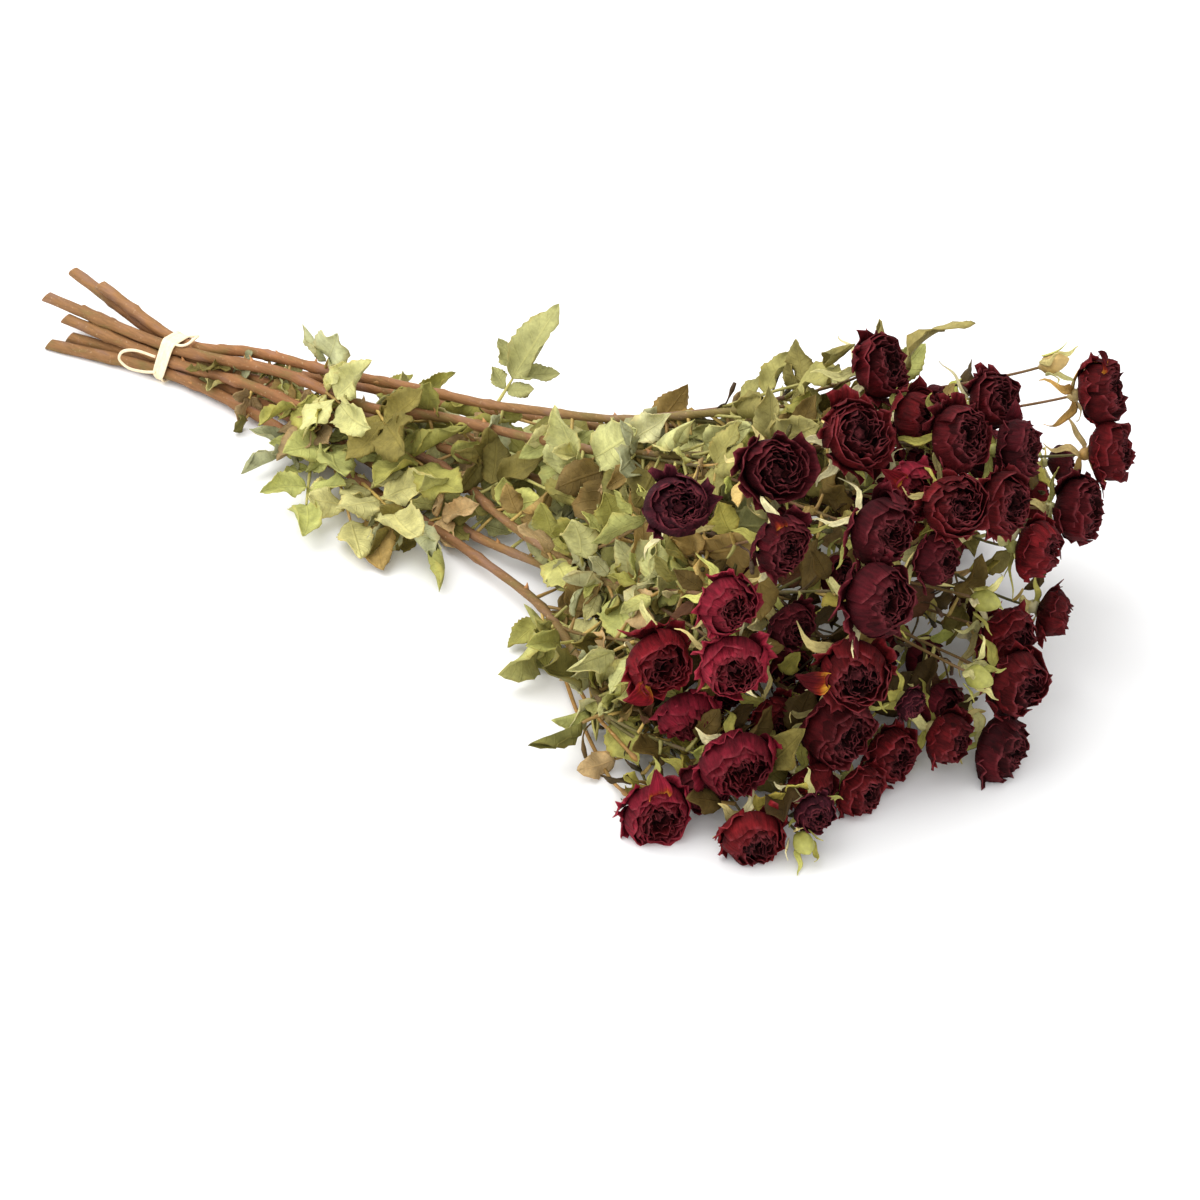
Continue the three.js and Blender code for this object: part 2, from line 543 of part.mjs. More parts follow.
for (const spray of sprays) {
  spray.plan.leaves.forEach(([limb, share, x, y, z], k) => {
    const root = spray.limbs[limb].getPoint(share);
    const ways = (paired) => leafWays(root, vec(x, y, z), leafSeed(spray, k), paired);
    const laid = layFirstClear(spray, ways(true), limb) || layFirstClear(spray, ways(false), limb)
      || layFirstClear(spray, ways(false));
    if (!laid) noPlace(spray, `leaf ${k + 1}`);
  });
}
for (const spray of sprays) {
  for (let twig = 1; twig < spray.limbs.length; twig += BRACT.every)
    layFirstClear(spray, bractWays(spray.limbs[twig], bractSeed(spray, twig)), twig);
}
for (const spray of sprays) spray.parts.push(...thornSolids(spray.limbs[0], thornSeed(spray)));

const bunch = new THREE.Group();
function addNode(name, solid, color, roughness) {
  const material = new THREE.MeshStandardMaterial({ color, roughness, metalness: 0 });
  const mesh = new THREE.Mesh(shapeOf(solid), material);
  mesh.name = name;
  bunch.add(mesh);
}

addNode("rubber_band", band, COLOURS.rubber, 0.6);
for (const spray of sprays) {
  addNode(`spray_${spray.number + 1}`, onSurface(joined(spray.parts)), COLOURS.wood, 0.85);
  spray.roses.forEach(({ solid }, k) =>
    addNode(`rose_${spray.number + 1}_${k + 1}`, solid, COLOURS.petals, 0.8));
}

// The origin is under the middle of the bunch, on the surface.
const extent = new THREE.Box3().setFromObject(bunch);
const middle = extent.getCenter(vec(0, 0, 0));
bunch.position.set(-middle.x, -middle.y, -extent.min.z);

export default bunch;
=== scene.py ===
"""A tied bunch of dried spray roses that lies on a pale surface.

Each spray is dressed as three pieces, its wood, its leaves and its calyxes, and each rose as one
piece of petals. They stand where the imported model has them: the layout is the model's own, in
whole millimetres, and each twig and leaf is known in it again by its corners. Lengths are
millimetres, and angles are radians, until a piece is made.
"""

import math
from functools import partial

import bpy
import numpy as np
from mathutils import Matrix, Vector


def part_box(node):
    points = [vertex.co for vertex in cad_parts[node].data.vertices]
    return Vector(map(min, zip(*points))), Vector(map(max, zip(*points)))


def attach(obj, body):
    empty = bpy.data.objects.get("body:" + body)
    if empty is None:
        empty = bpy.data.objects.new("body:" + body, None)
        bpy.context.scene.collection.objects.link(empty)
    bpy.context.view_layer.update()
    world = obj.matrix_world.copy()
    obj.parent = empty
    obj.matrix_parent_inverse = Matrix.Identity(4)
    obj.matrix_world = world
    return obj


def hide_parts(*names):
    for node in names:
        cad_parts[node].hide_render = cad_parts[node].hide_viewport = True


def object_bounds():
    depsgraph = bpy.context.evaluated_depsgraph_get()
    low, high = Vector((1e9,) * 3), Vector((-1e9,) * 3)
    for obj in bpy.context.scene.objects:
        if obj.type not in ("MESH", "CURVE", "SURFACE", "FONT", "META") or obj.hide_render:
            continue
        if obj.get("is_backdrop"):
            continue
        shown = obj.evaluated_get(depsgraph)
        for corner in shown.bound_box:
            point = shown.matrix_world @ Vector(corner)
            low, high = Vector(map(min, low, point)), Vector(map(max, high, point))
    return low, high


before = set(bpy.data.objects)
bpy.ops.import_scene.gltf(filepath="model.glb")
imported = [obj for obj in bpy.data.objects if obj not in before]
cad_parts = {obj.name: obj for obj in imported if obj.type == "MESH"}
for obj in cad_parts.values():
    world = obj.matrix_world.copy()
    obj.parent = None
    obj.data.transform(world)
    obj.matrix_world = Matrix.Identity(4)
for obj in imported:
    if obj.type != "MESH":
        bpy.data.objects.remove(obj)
CAD_LOW, CAD_HIGH = (np.array(corner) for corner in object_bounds())

# ---- The camera: the photograph's place and lens ----

CAMERA = {"azimuth": 40.0, "elevation": 36.0, "distance": 1300.0, "lens": 95.13}
AIM = (308.9, -51.5, 40.0)

# ---- Layout: the same places as the model's ----
# stem: from the cut end through the band at X 0 to its tip. roses: centre, radius, and how far it
# leans to the seen side. buds: foot and radius. leaves: the limb that carries it, 0 the stem or the
# number of a rose's twig, how far along that limb, and the leaf's tip.

SPRAYS = [
    {
        "stem": [(-61, 11, 22), (0, 6.2, 15.4), (38, 14, 21.5), (77, 21, 25), (138, 27, 34), (195, 29, 47),
                 (252, 31, 64), (315, 36, 92)],
        "roses": [(373, 44, 132, 12, 0.9), (392, 71, 96, 11, 0), (397, 36, 124, 11, 0.6),
                  (421, 34, 124, 12.4, 0.7), (412, 73, 118, 11.3, 0.2), (432, 59, 111, 11.8, 0.4)],
        "buds": [(412, 107, 118, 4.2)],
        "leaves": [(0, 0.44, 102, 10, 58), (0, 0.68, 186, 67, 80), (1, 0.5, 350, 44, 123),
                   (1, 0.4, 349, 20, 108), (2, 0.7, 396, 82, 145), (1, 0.7, 356, 50, 134),
                   (3, 0.5, 380, 20, 112)],
    },
    {
        "stem": [(-78, -9, 18), (0, 0, 15.4), (63, 10, 22), (121, 9, 27), (169, 17, 36), (229, 14, 50),
                 (268, 10, 64), (312, 4, 84)],
        "roses": [(380, -34, 127, 12.2, 1), (395, -1, 130, 12.8, 1), (416, 7, 112, 10.9, 0.5),
                  (426, -27, 116, 13.2, 1), (439, 7, 113, 12, 0.7), (437, -2, 92, 10, 0.4)],
        "buds": [],
        "leaves": [(0, 0.44, 170, -19, 36), (0, 0.35, 142, -11, 34), (0, 0.84, 287, 21, 86),
                   (0, 0.9, 312, 8, 94), (0, 0.96, 328, 20, 101), (1, 0.6, 356, -14, 110),
                   (2, 0.6, 372, 16, 118)],
    },
    {
        "stem": [(-63, -11, 12.5), (0, -3.1, 9.9), (55, 2, 14), (110, 2, 16), (165, 5, 18), (218, -11, 20),
                 (275, -26, 27), (325, -42, 42)],
        "roses": [(359, -66, 116, 12.3, 1), (403, -58, 115, 10.6, 0.8), (397, -83, 97, 10.6, 1),
                  (401, -46, 68, 9.4, 0.4), (438, -44, 97, 15, 1), (404, -85, 75, 12.5, 1)],
        "buds": [],
        "leaves": [(0, 0.7, 237, -5, 34), (0, 0.5, 199, -15, 28), (0, 0.34, 115, -17, 22),
                   (0, 0.66, 218, 24, 35), (0, 0.79, 278, -17, 48), (0, 0.8, 284, -44, 30),
                   (0, 0.97, 344, -56, 46), (0, 0.92, 332, -62, 38), (0, 0.9, 314, -32, 52),
                   (2, 0.3, 363, -42, 68), (2, 0.5, 376, -36, 92)],
    },
    {
        "stem": [(-64, -22, 2.6), (0, -6.2, 4.7), (54, -4.5, 5), (103, -9.5, 4.5), (150, -16, 5),
                 (197, -24, 7), (259, -37, 10), (300, -58, 13), (345, -88, 17)],
        "roses": [(369, -91, 62, 12.8, 1), (378, -82, 36, 11.4, 1), (389, -115, 11, 12.9, 1),
                  (396, -93, 12, 9.6, 0.4), (427, -101, 10.8, 12, 0.6), (409, -89, 32, 13.9, 1),
                  (443, -82, 18, 7.5, 0.4)],
        "buds": [(440, -88, 9, 4)],
        "leaves": [(0, 0.59, 209, -14, 24), (0, 0.5, 205, -46, 3), (0, 0.41, 174, -53, 4),
                   (0, 0.6, 218, -52, 3), (0, 0.37, 146, -55, 3), (0, 0.77, 291, -64, 4),
                   (0, 0.8, 312, -52, 18), (0, 0.93, 340, -91, 6), (0, 0.97, 368, -98, 12),
                   (0, 0.46, 197, -38, 15), (0, 0.44, 190, -57, 4), (0, 0.85, 336, -66, 26)],
    },
    {
        "stem": [(-60, -12, 3.4), (0, 0, 4.7), (60, 4, 5), (120, 1, 6), (178, -9, 7), (213, -16, 8),
                 (262, -17, 12), (330, -18, 19)],
        "roses": [(399, -51, 23, 10.3, 0.3), (429, -66, 15, 10.2, 0.5), (442, -52, 9.4, 9.8, 0.3),
                  (430, -54, 37, 14.3, 0.9), (441, -31, 14, 11, 0.6), (456, -14, 21, 11.4, 0.8)],
        "buds": [],
        "leaves": [(0, 0.26, 81, 8, 14), (0, 0.41, 90, -26, 12), (0, 0.37, 137, -20, 14),
                   (0, 0.55, 190, 5, 18), (0, 0.86, 325, -42, 14), (0, 0.95, 365, -10, 34)],
    },
    {
        "stem": [(-66, 1, 11), (0, 3.1, 9.9), (80, 12, 14), (160, 14, 20), (240, 8, 34), (320, 2, 50)],
        "roses": [(438, -52, 68, 13.3, 1), (396, 26, 12.2, 11.8, 0), (470, 4, 11.2, 13, 0.7),
                  (470, 14, 38, 12.8, 0.5), (448, 38, 38, 12.8, 0.6), (442, 36, 102, 11.2, 0.6),
                  (446, -26, 40, 6, 0.6)],
        "buds": [(458, -4, 48, 4.6), (443, 20, 64, 4.6)],
        "leaves": [(0, 0.78, 280, 17, 78), (0, 0.9, 324, 4, 80), (0, 0.5, 190, 30, 38),
                   (0, 0.97, 365, 10, 70), (0, 0.7, 262, -18, 48)],
    },
    {
        "stem": [(-62, 3, 4.4), (0, 6.2, 4.7), (80, 24, 5), (160, 47, 6), (240, 66, 13), (315, 84, 26)],
        "roses": [(353, 71, 11, 11, 0), (367, 123, 11, 11.3, 0), (405, 120, 40, 11.3, 0),
                  (431, 62, 11, 11.6, 0.2), (453, 66, 36, 9.7, 0.3)],
        "buds": [],
        "leaves": [(0, 0.4, 146, 52, 3), (0, 0.6, 205, 42, 14), (0, 0.75, 262, 95, 22),
                   (0, 0.9, 326, 60, 32), (0, 0.95, 345, 112, 30)],
    },
    {
        "stem": [(-88, 17, 17), (0, 9.3, 9.9), (80, 33, 12), (160, 58, 15), (240, 80, 28), (310, 93, 52)],
        "roses": [(391, 103, 68, 11.3, 0), (426, 131, 101, 12.8, 0.5), (438, 124, 79, 12.3, 0.5),
                  (438, 103, 61, 13, 0.3), (451, 50, 75, 11.8, 0.3)],
        "buds": [],
        "leaves": [(0, 0.42, 150, 62, 8), (0, 0.6, 212, 56, 24), (0, 0.75, 262, 98, 26),
                   (0, 0.9, 330, 78, 62), (0, 0.96, 345, 118, 66)],
    },
]

# The model's own sizes, for the pieces that stand in its places.
BAND_CORNER = np.array([2.7, 14.0, 0.0])  # the band's highest X and Y in the layout, and the surface
FAN_POINT = np.array([255.0, 8.0, 40.0])  # the blooms face away from it
LEAN = np.array([0.5, -0.62, 0.6])  # towards the seen side
ROSE_LEAN, BUD_LEAN = 1.24, 0.3
ROSE_NOD = np.array([0.75, 0.3, -0.45])  # what a cup turns to the right and down, as it is seen
ROSE_FOOT = 0.72  # how far a bloom's foot is behind its centre, as a share of its radius
ROSE_GAP, HIP_DOME, HIP_LONG = 0.35, 0.5, 5.2
STEM_THICK, STEM_THIN, CUT_SLOPE = 2.85, 1.55, 0.7  # radii at the cut and at the tip, and the cut's slope
TWIG_ROOT, TWIG_NECK = 1.15, 0.8  # radii
FIRST_FORK, LAST_FORK = 0.8, 0.99  # shares of the stem
# What the model may have drawn a twig's middle aside and up by, to keep it clear of others.
TWIG_BENDS = [(0, 0), (7, 0), (-7, 0), (0, 7), (0, -7), (13, 6), (-13, 6), (13, -6), (-13, -6),
              (0, 14), (0, -14)]
SEPAL_REACH, SEPAL_TIP = 0.98, 3.8  # a share of the bloom's radius, and mm over the hip's foot
SEPAL_SHARES = [1, 0.75, 0.45]  # of that reach: less where there was no room
LEAST_SHARE = 0.75  # of that reach, for the sepals that are drawn
BLADE_EDGES = [(0.22, 0.86), (0.62, 0.92)]  # how far along the edge corners are, and how wide apart
BLADE_LONG, BLADE_WIDE = 32, 0.64  # the width as a share of the length
FORK_SHARE, PAIR_SHARE, PAIR_ANGLE = 0.7, 0.8, 1.02  # a pair's place on its stalk, length and angle
NEAR = 0.05  # a corner this close to a place stands there

UP = np.array([0.0, 0.0, 1.0])
OFFSET = np.array(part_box("rubber_band")[1]) * 1000 * [1, 1, 0] - BAND_CORNER


# ---- Small tools ----

TURN = 2 * math.pi


def chance(number):
    """The same number from 0 to 1 each time, for each whole number asked: the fraction of a tall sine."""
    wave = math.sin(number * 12.9898 + 4.1414) * 43758.5453
    return wave - math.floor(wave)


def mix(a, b, share):
    """From a at share 0 to b at share 1."""
    return a + (b - a) * share


def unit(vectors):
    """The same directions, 1 long."""
    return vectors / np.linalg.norm(vectors, axis=-1, keepdims=True)


def turned(a, b, turn):
    """a cos turn + b sin turn."""
    return a * math.cos(turn) + b * math.sin(turn)


def turns_of(count):
    """A whole turn in so many equal steps."""
    return np.linspace(0, TURN, count, endpoint=False)


def axes_of(forward):
    """Three directions at right angles: forward, to its side and level, and upwards."""
    ahead = unit(np.asarray(forward, float))
    side = unit(np.cross(UP, ahead))
    return ahead, side, np.cross(ahead, side)


def any_turn(number):
    """A whole turn or less, by chance."""
    return TURN * chance(number)


def srgb(code):
    """A colour written #rrggbb as linear red, green and blue."""
    parts = np.array([int(code[k:k + 2], 16) / 255 for k in (1, 3, 5)])
    return np.where(parts <= 0.04045, parts / 12.92, ((parts + 0.055) / 1.055) ** 2.4)


def tints_of(codes):
    """The tints of a row of colours written #rrggbb."""
    return [srgb(code) for code in codes.split()]


def spline_of(places):
    """A curve through places as a function of shares: cubics whose slope at a place is half the
    step between its neighbours."""
    places = np.array(places, float)
    knots = np.vstack([2 * places[0] - places[1], places, 2 * places[-1] - places[-2]])

    def curve(shares):
        """For each share, the cubic of its span from the span's two ends and their slopes."""
        way = np.clip(np.atleast_1d(shares), 0, 1) * (len(places) - 1)
        first = np.minimum(way.astype(int), len(places) - 2)
        w = (way - first)[:, None]
        before, a, b, after = (knots[first + k] for k in range(4))
        slope_a, slope_b = (b - before) / 2, (after - a) / 2
        cubic = 2 * a - 2 * b + slope_a + slope_b
        square = 3 * b - 3 * a - 2 * slope_a - slope_b
        return a + slope_a * w + square * w**2 + cubic * w**3

    return curve


def arc_of(a, b, c, d):
    """A curve from a to d that leaves towards b and arrives from c: a cubic Bezier of shares."""

    def curve(shares):
        s = np.atleast_1d(shares)[:, None]
        return a * (1 - s) ** 3 + 3 * b * s * (1 - s) ** 2 + 3 * c * s**2 * (1 - s) + d * s**3

    return curve


def place(curve, share):
    """The point of a curve at one share."""
    return curve(share)[0]


def heading(curve, share):
    """Which way a curve runs at one share."""
    before, after = curve([max(0, share - 1e-4), min(1, share + 1e-4)])
    return unit(after - before)


def sprout(limb, share, number):
    """Which way a limb runs at a share of it, and a way at right angles to it, by chance."""
    ahead, side, up = axes_of(heading(limb, share))
    return ahead, turned(side, up, any_turn(number))


def bent_spine(root, out, ahead, slope, long):
    """A line of small equal steps that leaves root, each in its own slope from out towards ahead."""
    step = long / (len(slope) - 1)
    run = np.cumsum(np.cos(slope) * step) - step
    rise = np.cumsum(np.sin(slope) * step) - step
    return root + out * run[:, None, None] + ahead * rise[:, None, None]


# ---- Gathering surfaces into one mesh ----

def marks_of(*numbers):
    """The marks of a grid from three numbers at each of its points."""
    return np.stack(np.broadcast_arrays(*numbers), axis=-1)


class Gathered:
    """Surfaces that become one mesh. Each point has a mark, three numbers that its material reads,
    and a tint, its own linear colour."""

    def __init__(self):
        self.points, self.faces, self.marks, self.tints, self.slots = [], [], [], [], []
        self.count = 0

    def surface(self, grid, marks, tint, slot=0, closed=False, looped=False, poles=(False, False)):
        """Adds a grid of rows x columns points. closed joins its last column to its first, looped
        its last row to its first, and a pole is a first or last row that is one point."""
        rows, columns = grid.shape[:2]
        marks = np.broadcast_to(marks, grid.shape)
        tints = np.broadcast_to(tint, grid.shape)
        keep = slice(int(poles[0]), rows - int(poles[1]))
        index = self.count + np.arange(grid[keep].shape[0] * columns).reshape(-1, columns)
        left, right = (index, np.roll(index, -1, axis=1)) if closed else (index[:, :-1], index[:, 1:])
        if looped:
            left, right = np.vstack([left, left[:1]]), np.vstack([right, right[:1]])
        quads = np.stack([left[:-1], right[:-1], right[1:], left[1:]], axis=-1).reshape(-1, 4)
        self.faces += quads.tolist()
        ends = [row for row, pole in ((0, poles[0]), (rows - 1, poles[1])) if pole]
        for values, into in ((grid, self.points), (marks, self.marks), (tints, self.tints)):
            into.append(values[keep].reshape(-1, 3))
            into.extend(values[row, :1] for row in ends)
        tip = index.size + self.count
        if poles[0]:
            self.faces += np.stack([right[0], left[0], np.full_like(left[0], tip)], axis=-1).tolist()
            tip += 1
        if poles[1]:
            self.faces += np.stack([left[-1], right[-1], np.full_like(left[-1], tip)], axis=-1).tolist()
            tip += 1
        self.count = tip
        self.slots += [slot] * (len(self.faces) - len(self.slots))


def frames_along(path):
    """The side and upward directions at each point of a path, held near one level all along."""
    ahead = unit(np.gradient(path, axis=0))
    _, _, up = axes_of(path[-1] - path[0] + 1e-6)
    side = unit(np.cross(up, ahead))
    return side, np.cross(ahead, side)


SLANT_FADES = 8  # mm from a slanted cut to where the rings are upright again
STEM_ROWS, TWIG_ROWS, STALK_ROWS, BARE_ROWS, LOOP_ROWS = 128, 26, 14, 40, 60
STEM_SIDES, TWIG_SIDES, THIN_SIDES, HIP_SIDES, RIDGED_SIDES, LOOP_SIDES = 12, 7, 6, 10, 15, 8


def tube(gathered, path, radii, sides, tint, slot=0, number=0.0, flat=1.0, ridges=0, deep=0.0, slant=0.0):
    """A closed tube: each ring is a circle of its radius round the path, its upward radius times
    flat, and deep grooves between ridges. Its first end is cut on a slant, which fades. Its mark is
    the length along, the turn round, and number."""
    side, up = frames_along(path)
    around = turns_of(sides)
    radii = np.broadcast_to(radii, len(path))[:, None] * (1 + deep * np.cos(ridges * around))
    ring = side[:, None] * np.cos(around)[:, None] + flat * up[:, None] * np.sin(around)[:, None]
    run = np.concatenate([[0], np.cumsum(np.linalg.norm(np.diff(path, axis=0), axis=1))])
    ring = ring * radii[..., None]
    upright = np.clip(1 - run / SLANT_FADES, 0, 1)[:, None, None]
    shift = slant * (ring @ up[0])[..., None] * upright
    grid = path[:, None] + ring + shift * unit(path[2] - path[0])
    first, last = (np.repeat(end[:, None], sides, 1) for end in (path[:1], path[-1:]))
    grid = np.concatenate([first, grid, last])
    run = np.concatenate([run[:1], run, run[-1:]])
    marks = marks_of(run[:, None], around / TURN, number)
    tint = np.asarray(tint)
    if tint.ndim == 2:
        tint = np.concatenate([tint[:1], tint, tint[-1:]])[:, None]
    gathered.surface(grid, marks, tint, slot, closed=True, poles=(True, True))


def add_limb(gathered, curve, radii, sides, tint, number=0.0):
    """A tube along a curve, with one ring for each of its radii, evenly spaced in shares."""
    tube(gathered, curve(np.linspace(0, 1, len(radii))), radii, sides, tint, number=number)


# ---- Where the model's twigs and leaves stand ----

def corners_of(node):
    """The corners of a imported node, in the layout's millimetres."""
    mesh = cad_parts[node].data
    flat = np.empty(3 * len(mesh.vertices))
    mesh.vertices.foreach_get("co", flat)
    return flat.reshape(-1, 3) * 1000 - OFFSET


def standing(corners, places):
    """How many of the places have one of the corners at them."""
    apart = np.linalg.norm(corners[None] - np.asarray(places)[:, None], axis=-1)
    return int((apart.min(axis=1) < NEAR).sum())


def facing(centre, lean):
    """Which way a rose faces: away from the fan point, and leaning as its spray says."""
    return unit(unit(np.asarray(centre, float) - FAN_POINT) + LEAN * ROSE_LEAN * lean)


def model_rings(path, radii, sides=5):
    """The corners of the model's own rings along a short path."""
    ahead = [unit(path[min(k + 1, len(path) - 1)] - path[max(k - 1, 0)]) for k in range(len(path))]
    side = axes_of(ahead[0])[1]
    rings = []
    for centre, forward, radius in zip(path, ahead, radii):
        side = unit(side - forward * side.dot(forward))
        turns = TURN * np.arange(sides) / sides
        across = np.cross(forward, side)
        rings.append(centre + radius * (np.outer(np.cos(turns), side) + np.outer(np.sin(turns), across)))
    return rings


def find_twig(corners, stem, share, foot, forward):
    """The curve of the model's twig between a fork and a foot, and its rings, in the bend whose
    corners stand."""
    root, along = place(stem, share), heading(stem, share)
    span = np.linalg.norm(foot - root)
    _, side, up = axes_of(foot - root)
    most, best = -1, None
    for bend in TWIG_BENDS:
        aside = side * bend[0] + up * bend[1]
        curve = arc_of(root, root + along * span * 0.22 + aside, foot - forward * span * 0.3 + aside, foot)
        rings = model_rings(curve(np.linspace(0, 1, 4)), np.linspace(TWIG_ROOT, TWIG_NECK, 4))
        found = standing(corners, np.vstack(rings[1:3]))
        if found > most:
            most, best = found, (curve, rings)
    return best


def sepal_share(corners, foot, forward, rings, radius):
    """The share of the full reach that the model's sepals have here, and the turn of the first."""
    ahead, side, up = axes_of(forward)
    spoke = rings[-1][0] - foot
    start = math.atan2(spoke.dot(up), spoke.dot(side))
    turns = start + TURN * np.arange(5) / 5
    star = np.outer(np.cos(turns), side) + np.outer(np.sin(turns), up)
    tips = foot + ahead * SEPAL_TIP
    found = [standing(corners, tips + star * SEPAL_REACH * radius * share) for share in SEPAL_SHARES]
    return SEPAL_SHARES[int(np.argmax(found))], start


def leaf_form(root, tip, roll, seed, paired=False):
    """The frame of a leaf between its root and its tip, as the model has it."""
    ahead = unit(tip - root)
    seen = unit(LEAN - ahead * LEAN.dot(ahead))
    face = turned(seen, np.cross(ahead, seen), roll)
    reach = np.linalg.norm(tip - root)
    long = min(BLADE_LONG * mix(0.9, 1.2, chance(seed + 20)), 0.7 * reach)
    stalk = ahead * (reach - long)
    return {
        "root": root, "ahead": ahead, "face": face, "side": unit(np.cross(face, ahead)), "seed": seed,
        "end": root + stalk, "fork": root + stalk * FORK_SHARE, "reach": reach, "long": long,
        "wide": long * BLADE_WIDE * mix(0.85, 1.15, chance(seed + 1)),
        "curl": 1.1 * (chance(seed) - 0.4) + 0.001, "pair_share": PAIR_SHARE, "paired": paired,
    }


def blade_corners(leaf):
    """The edge corners and the tip of the model's blade."""
    curl, ahead, face, seed = leaf["curl"], leaf["ahead"], leaf["face"], leaf["seed"]

    def rib(share):
        """The midrib, a circle's arc that turns by curl from its foot to its tip: the sine of its
        bend runs ahead, and the cosine lifts it along its face."""
        bend = curl * (share - 0.5)
        run = (math.sin(bend) + math.sin(curl / 2)) / curl
        lift = (math.cos(curl / 2) - math.cos(bend)) / curl
        return leaf["end"] + leaf["long"] * (ahead * run + face * lift)

    found = [rib(1)]
    for k, (share, spread) in enumerate(BLADE_EDGES):
        above = turned(face, ahead, -curl * (share - 0.5))
        for sign in (1, -1):
            lift = 0.4 + 0.5 * (chance(seed + 3 + 2 * k + sign) - 0.5)
            found.append(rib(share) + turned(leaf["side"] * sign, above, lift) * 0.5 * leaf["wide"] * spread)
    return found


def pair_ways(leaf, seed, long, fork):
    """The tips of a pair of side leaflets, in the model's place."""
    tips = []
    for sign in (1, -1):
        angle = PAIR_ANGLE + 0.2 * (chance(seed + sign) - 0.5)
        way = turned(leaf["ahead"], leaf["side"] * sign, angle)
        lift = 0.55 * (chance(seed + 4 + sign) - 0.3)
        tips.append(fork + way * long + leaf["face"] * long * lift)
    return tips


LEAF_TRIES, BRACT_TRIES = 60, 16
STANDS = 3  # of the five corners of a blade


def find_leaf(corners, root, aim, seed):
    """The leaf that the model laid towards aim, in the first of its ways whose corners stand, or
    None."""
    for step in range(LEAF_TRIES):
        stray = 14 * min(1, step / 12)
        tip = aim + LEAN * stray * chance(seed + 3 * step)
        tip = tip + stray * np.array([chance(seed + 5 * step) - 0.5, chance(seed + 9 * step) - 0.5, 0])
        leaf = leaf_form(root, tip, 1.4 * (chance(seed + 7 * step) - 0.5), seed)
        if standing(corners, blade_corners(leaf)) >= STANDS:
            tips = pair_ways(leaf, seed + 30, leaf["long"] * PAIR_SHARE, leaf["fork"])
            leaf["paired"] = standing(corners, tips) > 0
            return leaf
    return None


def find_bract(corners, limb, seed):
    """The single leaflet that the model laid on a twig, or None."""
    root = place(limb, 0.5)
    ahead, side, up = axes_of(heading(limb, 0.5))
    for step in range(BRACT_TRIES):
        out = turned(side, up, any_turn(seed) + 2.4 * step)
        leaf = leaf_form(root, root + turned(ahead, out, 0.75) * 30, 0, seed)
        if standing(corners, blade_corners(leaf)) >= STANDS:
            return leaf
    return None


# ---- Colours ----

STEM_TINTS = tints_of("#91693f #98673f #8f6640 #786b38")  # from the cut to the tip
CUT_TINT, THORN_TINT, BARE_TINT = tints_of("#c9a276 #b9824f #a0783f")
TWIG_TINTS = tints_of("#735a32 #625c30 #7c5d3c")
STALK_TINTS = tints_of("#b99c52 #a8a058 #a07f44")
LEAF_TINTS = tints_of("#b3b076 #aaa764 #bcb98a #a09f58 #b0aa70 #908c48 #af9468 #827b40 #adac72 #a2a35f "
                      "#abac82 #756a35 #957c48")
UPPER_TINTS = tints_of("#bdb167 #aba24f #cfc28a #94863c #c2a766 #9fa352")
# Leaf tints darkened by painted shade, for the leaves that lie deep in the head.
PAINTED_SHADE_LEAF_TINTS = tints_of("#564521 #45361b #655329 #3b2c12 #6c6230 #513420")
SEPAL_TINTS = tints_of("#cfc886 #b9b765 #ded4a2 #a9a252 #c8b878")
STRAW_TINTS = tints_of("#cfa964 #c39a55 #d8bd80")
BUD_TINT, DRY_BUD_TINT = tints_of("#a19f4e #b89a5c")
# The outer and the inner petals of a bloom. The inner ones are darker: partly their own colour,
# partly painted shade deep in the cup.
PETAL_DEEP = tints_of("#4f0d12 #5c1114 #420b11 #6b1418 #4a0e16"), tints_of("#260507 #2f0809")
PETAL_BRIGHT = tints_of("#76131c #6b1118 #831c2d"), tints_of("#3c080b #480b0f")
PETAL_PURPLE = tints_of("#43131e #4c1622"), tints_of("#250b12 #2d0e16")
PETAL_YELLOW, PETAL_ORANGE = tints_of("#f2b53a #a2361a")
WHITE, PALE = (1.0, 1.0, 1.0), (0.9, 0.9, 0.9)

# Blooms and leaves with looks of their own, by the spray and their number on it.
STRAW_HIPS = {(8, 2), (8, 3)}
PURPLE_ROSES = {(3, 1), (4, 7), (6, 7)}
BRIGHT_ROSES = {(4, 1), (4, 2), (4, 3), (4, 6), (3, 3), (3, 6), (2, 3)}
# The turn round its bloom at which a petal has come open.
FALLEN_PETALS = {(2, 3): 2.3, (3, 2): 1.9, (6, 1): 3.1, (7, 1): 4.0, (4, 1): 3.7, (4, 3): 1.6, (8, 2): 1.7,
                 (5, 2): 2.6, (7, 2): 1.0}
LEAF_OWN_TINTS = {(1, 1): "#9a9862", (1, 2): "#8d874e", (1, 3): "#857c46", (1, 4): "#8f834c",
                  (1, 5): "#8a814a", (1, 6): "#807842", (2, 5): "#8a834a", (2, 6): "#989058",
                  (8, 3): "#b9a877"}
# How much longer and wider a leaf's end leaflet is, how long its side leaflets are as a share of it,
# what is added to its curl, and how far it tilts.
BOLD_LEAVES = {(1, 1): (1.35, 1.3, 0.5, 0.0, 0.0), (1, 4): (1.3, 0.95, 0.6, -1.9, -0.9),
               (1, 2): (0.72, 0.72, 0.8, 0.0, 0.0), (1, 5): (0.65, 0.65, 0.8, 0.0, 0.0)}


def pick(tints, number):
    """One of the tints, a little lighter or darker, by chance."""
    return tints[int(chance(number) * len(tints)) % len(tints)] * mix(0.86, 1.12, chance(number + 1))


# ---- Petals ----
# Layers from outside in: petals, their reach and their top as shares of the radius, how far the rim
# closes in, half of a petal's width as an angle, the height of its foot, and how crumpled it is.

